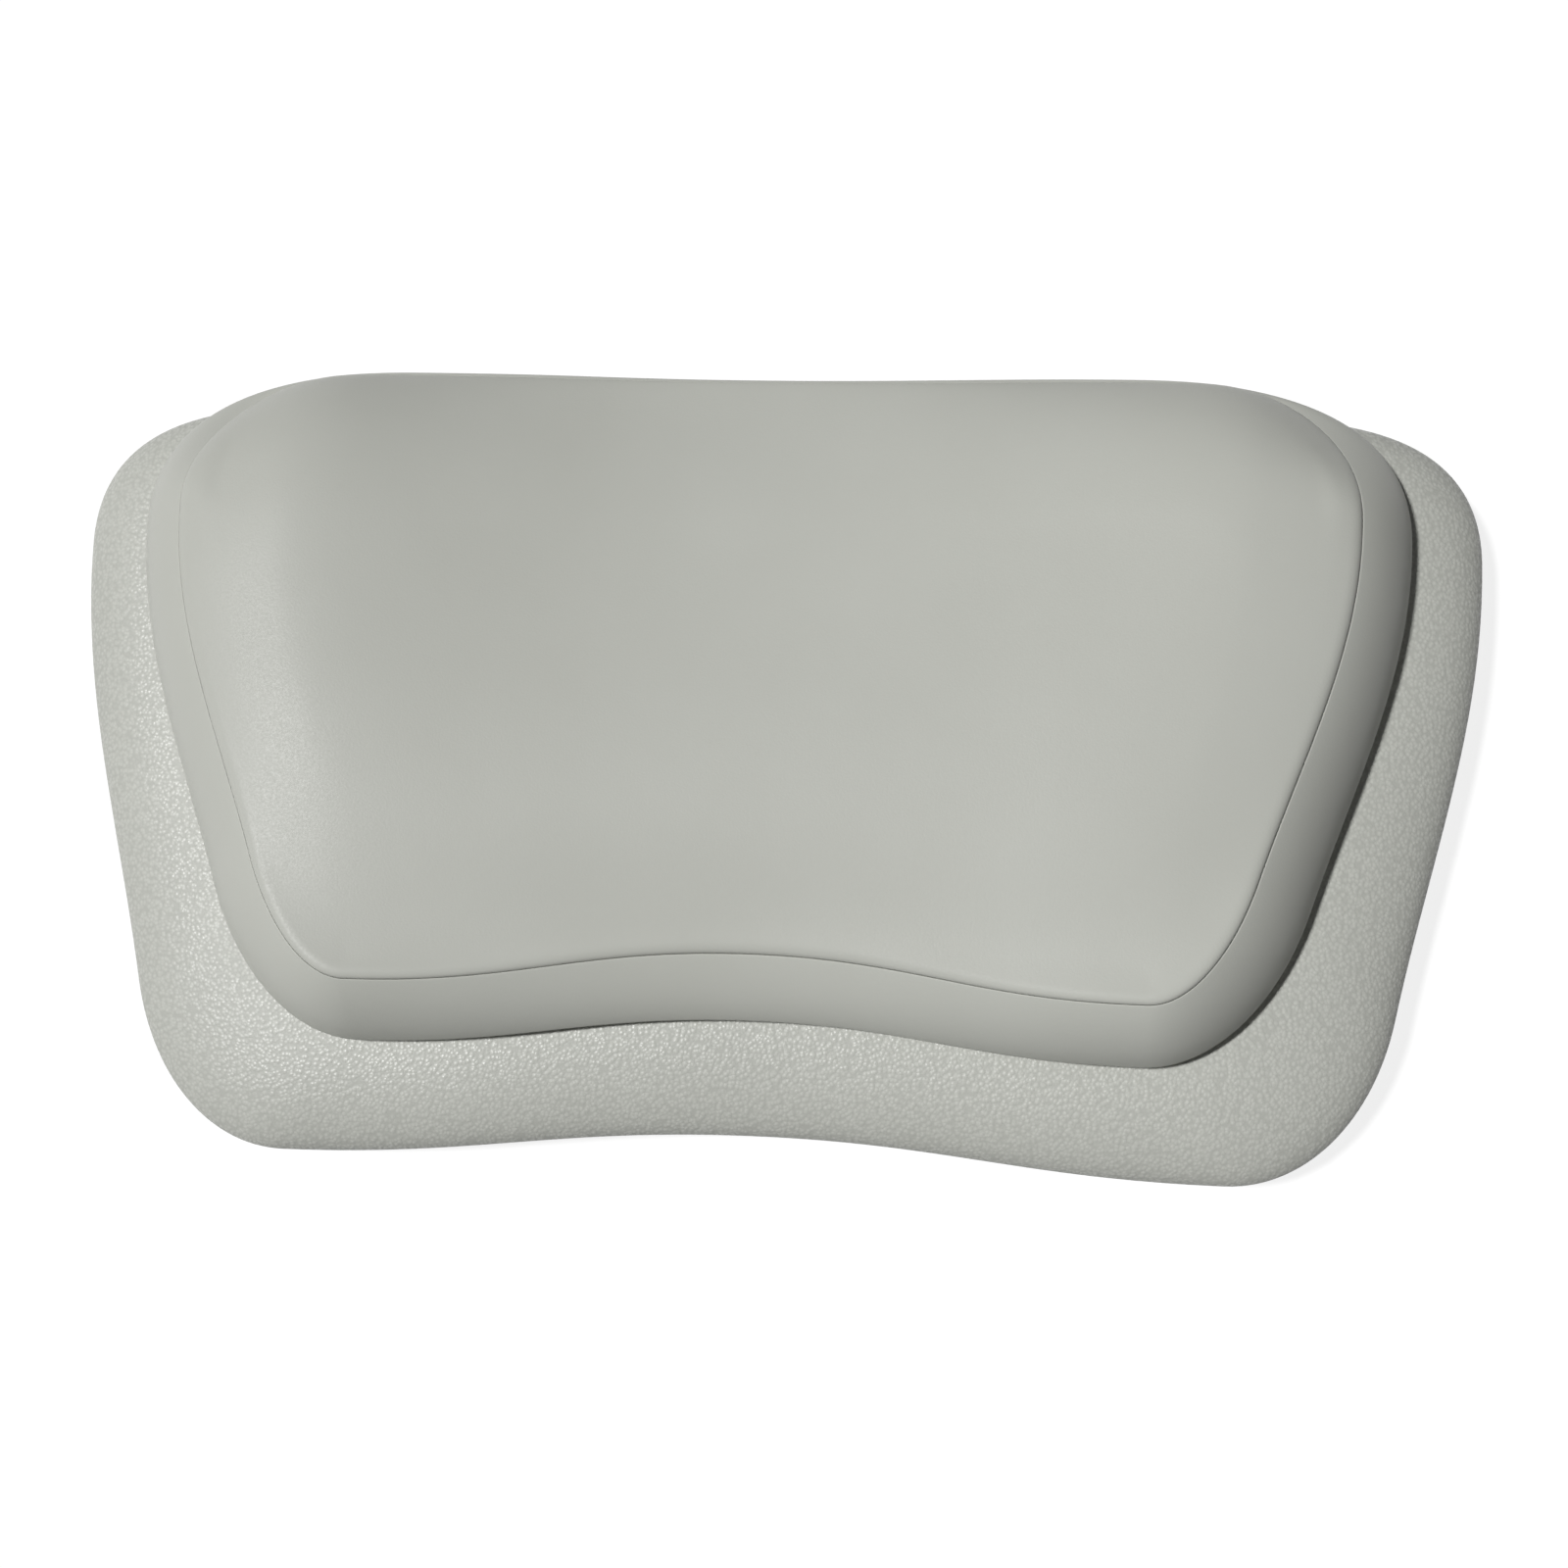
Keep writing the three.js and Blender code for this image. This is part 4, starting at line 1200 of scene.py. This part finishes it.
class PILLOW_OT_suction_cups(Operator):
    """Build the suction cups: soft bells with a sealing lip, a lift tab and a snap-in head"""

    bl_idname = "pillow.suction_cups"
    bl_label = "Suction cups"

    def execute(self, context):
        settings = context.scene.pillow
        pattern = to_object("suction_cup_pattern", self.bell(settings), vinyl_finish(settings.colours))
        combine(pattern, self.tab(settings), "UNION")
        shade_by_angle(pattern, degrees=40)
        for i, joint in enumerate(cup_joints(), 1):
            x, y, _ = joint["pos_m"]
            piece = copy_to(pattern, f"suction_cup_bell_{i}", x, y)
            piece.rotation_euler.z = 0 if y > 0 else math.pi  # tabs point away from the plate's middle
            settle(piece, joint["child"], f"suction_cup_{i}")
        bpy.data.objects.remove(pattern)
        return {"FINISHED"}

    def bell(self, settings):
        """The cup's turned body, from the hollow's roof round the lip and up to the head."""
        sizes = settings.back
        neck_low = base_low.z - GAP
        neck_high = plate_high.z + GAP
        wall, roof_bow, lip_height, head_taper = 1.2 * MM, 0.6 * MM, 0.9 * MM, 1.6 * MM
        lip_round, shoulder_round = 0.4 * MM, 0.8 * MM
        hollow_sag, outer_sag = 0.18, 0.1
        lip_inner = sizes.cup_radius - sizes.cup_lip
        lip_centre = sizes.cup_radius - lip_round
        roof_edge = sizes.cup_shoulder - wall
        roof_z = sizes.cup_hollow - roof_bow
        shoulder_z = neck_low - shoulder_round
        parts = parts_of(steps=10)

        profile = [(0, sizes.cup_hollow)]
        for part in parts:
            profile.append((roof_edge * part, sizes.cup_hollow - roof_bow * part ** 2))
        for part in parts:
            sagged = 1 - hollow_sag * math.sin(math.pi * part)
            profile.append((blend(roof_edge, lip_inner, part), roof_z * (1 - part) * sagged))
        profile += arc((lip_centre, lip_round), (lip_round, lip_round), -90, 0, steps=4)
        profile += arc((lip_centre, lip_height - lip_round), (lip_round, lip_round), 0, 70, steps=4)[1:]
        start_radius, start_z = profile[-1]
        for part in parts:
            sagged = part - outer_sag * math.sin(math.pi * part)
            radius = blend(start_radius, sizes.cup_shoulder, part)
            profile.append((radius, blend(start_z, shoulder_z, sagged)))
        shoulder_centre = (sizes.cup_shoulder - shoulder_round, shoulder_z)
        profile += arc(shoulder_centre, (shoulder_round, shoulder_round), 10, 90, steps=5)
        profile += [(sizes.cup_neck, neck_low), (sizes.cup_neck, neck_high), (sizes.cup_head, neck_high)]
        head_centre = (sizes.cup_head - head_taper, neck_high + head_taper)
        profile += arc(head_centre, (head_taper, cup_high.z - head_centre[1]), 0, 90, steps=8)
        profile.append((0, cup_high.z))
        return turned_mesh(profile)

    def tab(self, settings):
        """The lift tab at the lip's edge, with two grip ridges."""
        sizes = settings.back
        reach = sizes.cup_radius + sizes.tab_length - sizes.tab_width / 2
        start = sizes.cup_radius - sizes.cup_lip / 2
        half = sizes.tab_width / 2
        steps = 16
        border = [(-half, start), (half, start)]
        for step in range(steps + 1):
            angle = math.pi * step / steps
            border.append((half * math.cos(angle), reach + half * math.sin(angle)))
        mesh = bmesh.new()
        low = [mesh.verts.new((x, y, sizes.tab_lift)) for x, y in border]
        high = [mesh.verts.new((x, y, sizes.tab_lift + sizes.tab_thickness)) for x, y in border]
        join_rings(mesh, [low, high])
        mesh.faces.new(low)
        mesh.faces.new(high)
        tab = to_object("lift_tab", mesh, finish=None)
        ridge_length, ridge_width, ridge_height = 0.55 * sizes.tab_width, 0.6 * MM, 0.35 * MM
        ridge_spacing = 1.8 * MM
        for offset in (0, ridge_spacing):
            centre = Vector((0, reach - ridge_width + offset, sizes.tab_lift + sizes.tab_thickness))
            ridge = block_object("grip_ridge", (ridge_length, ridge_width, 2 * ridge_height), centre)
            combine(tab, ridge, "UNION")
        return tab


class PILLOW_OT_stage(Operator):
    """Set up the pale floor, the soft light and the camera"""

    bl_idname = "pillow.stage"
    bl_label = "Floor, light and camera"

    def execute(self, context):
        scene = context.scene
        stage = scene.pillow.stage
        scene.view_settings.view_transform = "Standard"
        scene.world = self.surroundings(stage)
        scene.camera = self.camera(stage)
        self.add_floor(stage)
        self.add_lamps(stage)
        return {"FINISHED"}

    def add_floor(self, stage):
        """A wide round floor, white where nothing shades it and clear from below."""
        dark_grey, pale_grey = (0.2,) * 3, (0.21,) * 3
        finish = Finish("floor")
        material = finish.finished(
            Base_Color=finish.tint(finish.noise(5 * MM, detail=3), dark_grey, pale_grey),
            Roughness=0.9,
            Specular_IOR_Level=0.1,
            Emission_Color=(1, 1, 1, 1),
            Emission_Strength=finish.calculate("MULTIPLY", finish.seen_directly(), stage.glow),
        )
        clear = finish.add("ShaderNodeBsdfTransparent")["BSDF"]
        behind = finish.add("ShaderNodeNewGeometry")["Backfacing"]
        mixed = finish.add("ShaderNodeMixShader", {0: behind, 1: finish.shader.outputs["BSDF"], 2: clear})
        finish.set(finish.tree.nodes["Material Output"], {"Surface": mixed["Shader"]})
        mesh = bmesh.new()
        bmesh.ops.create_circle(mesh, cap_ends=True, segments=96, radius=4)
        floor = to_object("floor", mesh, material)
        if floor.data.polygons[0].normal.z < 0:
            floor.data.flip_normals()
        floor.visible_shadow = False  # lets the light from below reach the pillow's back

    def add_lamps(self, stage):
        """A key light high on the left, a lower side light and light from the floor."""
        for name in ("key", "side", "bounce"):
            lamp = bpy.data.lights.new(name, "SUN")
            lamp.angle = getattr(stage, name + "_spread")
            lamp.energy = getattr(stage, name + "_power")
            light = new_object(name, lamp)
            light.location = getattr(stage, name + "_place")
            light.rotation_euler = (-light.location).to_track_quat("-Z", "Y").to_euler()

    def surroundings(self, stage):
        """White surroundings that give a little light from all round."""
        world = bpy.data.worlds.new("surroundings")
        world.use_nodes = True
        nodes = ShaderNodes(world.node_tree)
        strength = nodes.spread(nodes.seen_directly(), stage.fill, 1, span=(0, 1))
        nodes.set(nodes.tree.nodes["Background"], {"Color": (1, 1, 1, 1), "Strength": strength})
        return world

    def camera(self, stage):
        """The camera at the photograph's viewing angle."""
        data = bpy.data.cameras.new("camera")
        data.sensor_width = 36
        data.lens = stage.camera_lens
        data.clip_start = 0.01
        camera = new_object("camera", data)
        place = Vector(stage.camera_place)
        back = (place - Vector(stage.camera_aim)).normalized()
        right = Vector((0, 1, 0)).cross(back).normalized()
        up = back.cross(right)
        turn = Matrix.Rotation(stage.camera_roll, 3, back)
        axes = Matrix((turn @ right, turn @ up, back)).transposed()
        camera.matrix_world = Matrix.Translation(place) @ axes.to_4x4()
        return camera


class PILLOW_PT_panel(Panel):
    """Pieces and settings of the bath pillow"""

    bl_idname = "PILLOW_PT_panel"
    bl_label = "Bath pillow"
    bl_space_type = "VIEW_3D"
    bl_region_type = "UI"
    bl_category = "Pillow"

    def draw(self, context):
        column = self.layout.column()
        for step in BUILD_STEPS:
            column.operator(step.bl_idname)
        for group_name in PillowSettings.__annotations__:
            group = getattr(context.scene.pillow, group_name)
            box = self.layout.box()
            for name in group.__annotations__:
                box.prop(group, name)


BUILD_STEPS = (
    PILLOW_OT_base_pad,
    PILLOW_OT_side_band,
    PILLOW_OT_crown_pad,
    PILLOW_OT_foam_core,
    PILLOW_OT_hard_parts,
    PILLOW_OT_clamp_screws,
    PILLOW_OT_suction_cups,
    PILLOW_OT_stage,
)
SETTING_GROUPS = (
    BasePadSizes,
    CushionSizes,
    CrownSizes,
    BackSizes,
    FinishColours,
    StageSettings,
    PillowSettings,
)


def register():
    """Adds the settings, the operators and the panel to Blender."""
    for cls in (*SETTING_GROUPS, *BUILD_STEPS, PILLOW_PT_panel):
        bpy.utils.register_class(cls)
    bpy.types.Scene.pillow = PointerProperty(type=PillowSettings)


def unregister():
    """Takes them out again."""
    del bpy.types.Scene.pillow
    for cls in reversed((*SETTING_GROUPS, *BUILD_STEPS, PILLOW_PT_panel)):
        bpy.utils.unregister_class(cls)


def main():
    """Builds the pillow and its stage."""
    register()
    bpy.ops.pillow.base_pad()
    bpy.ops.pillow.side_band()
    bpy.ops.pillow.crown_pad()
    bpy.ops.pillow.foam_core()
    bpy.ops.pillow.hard_parts()
    bpy.ops.pillow.clamp_screws()
    bpy.ops.pillow.suction_cups()
    bpy.ops.pillow.stage()


if __name__ == "__main__":
    main()
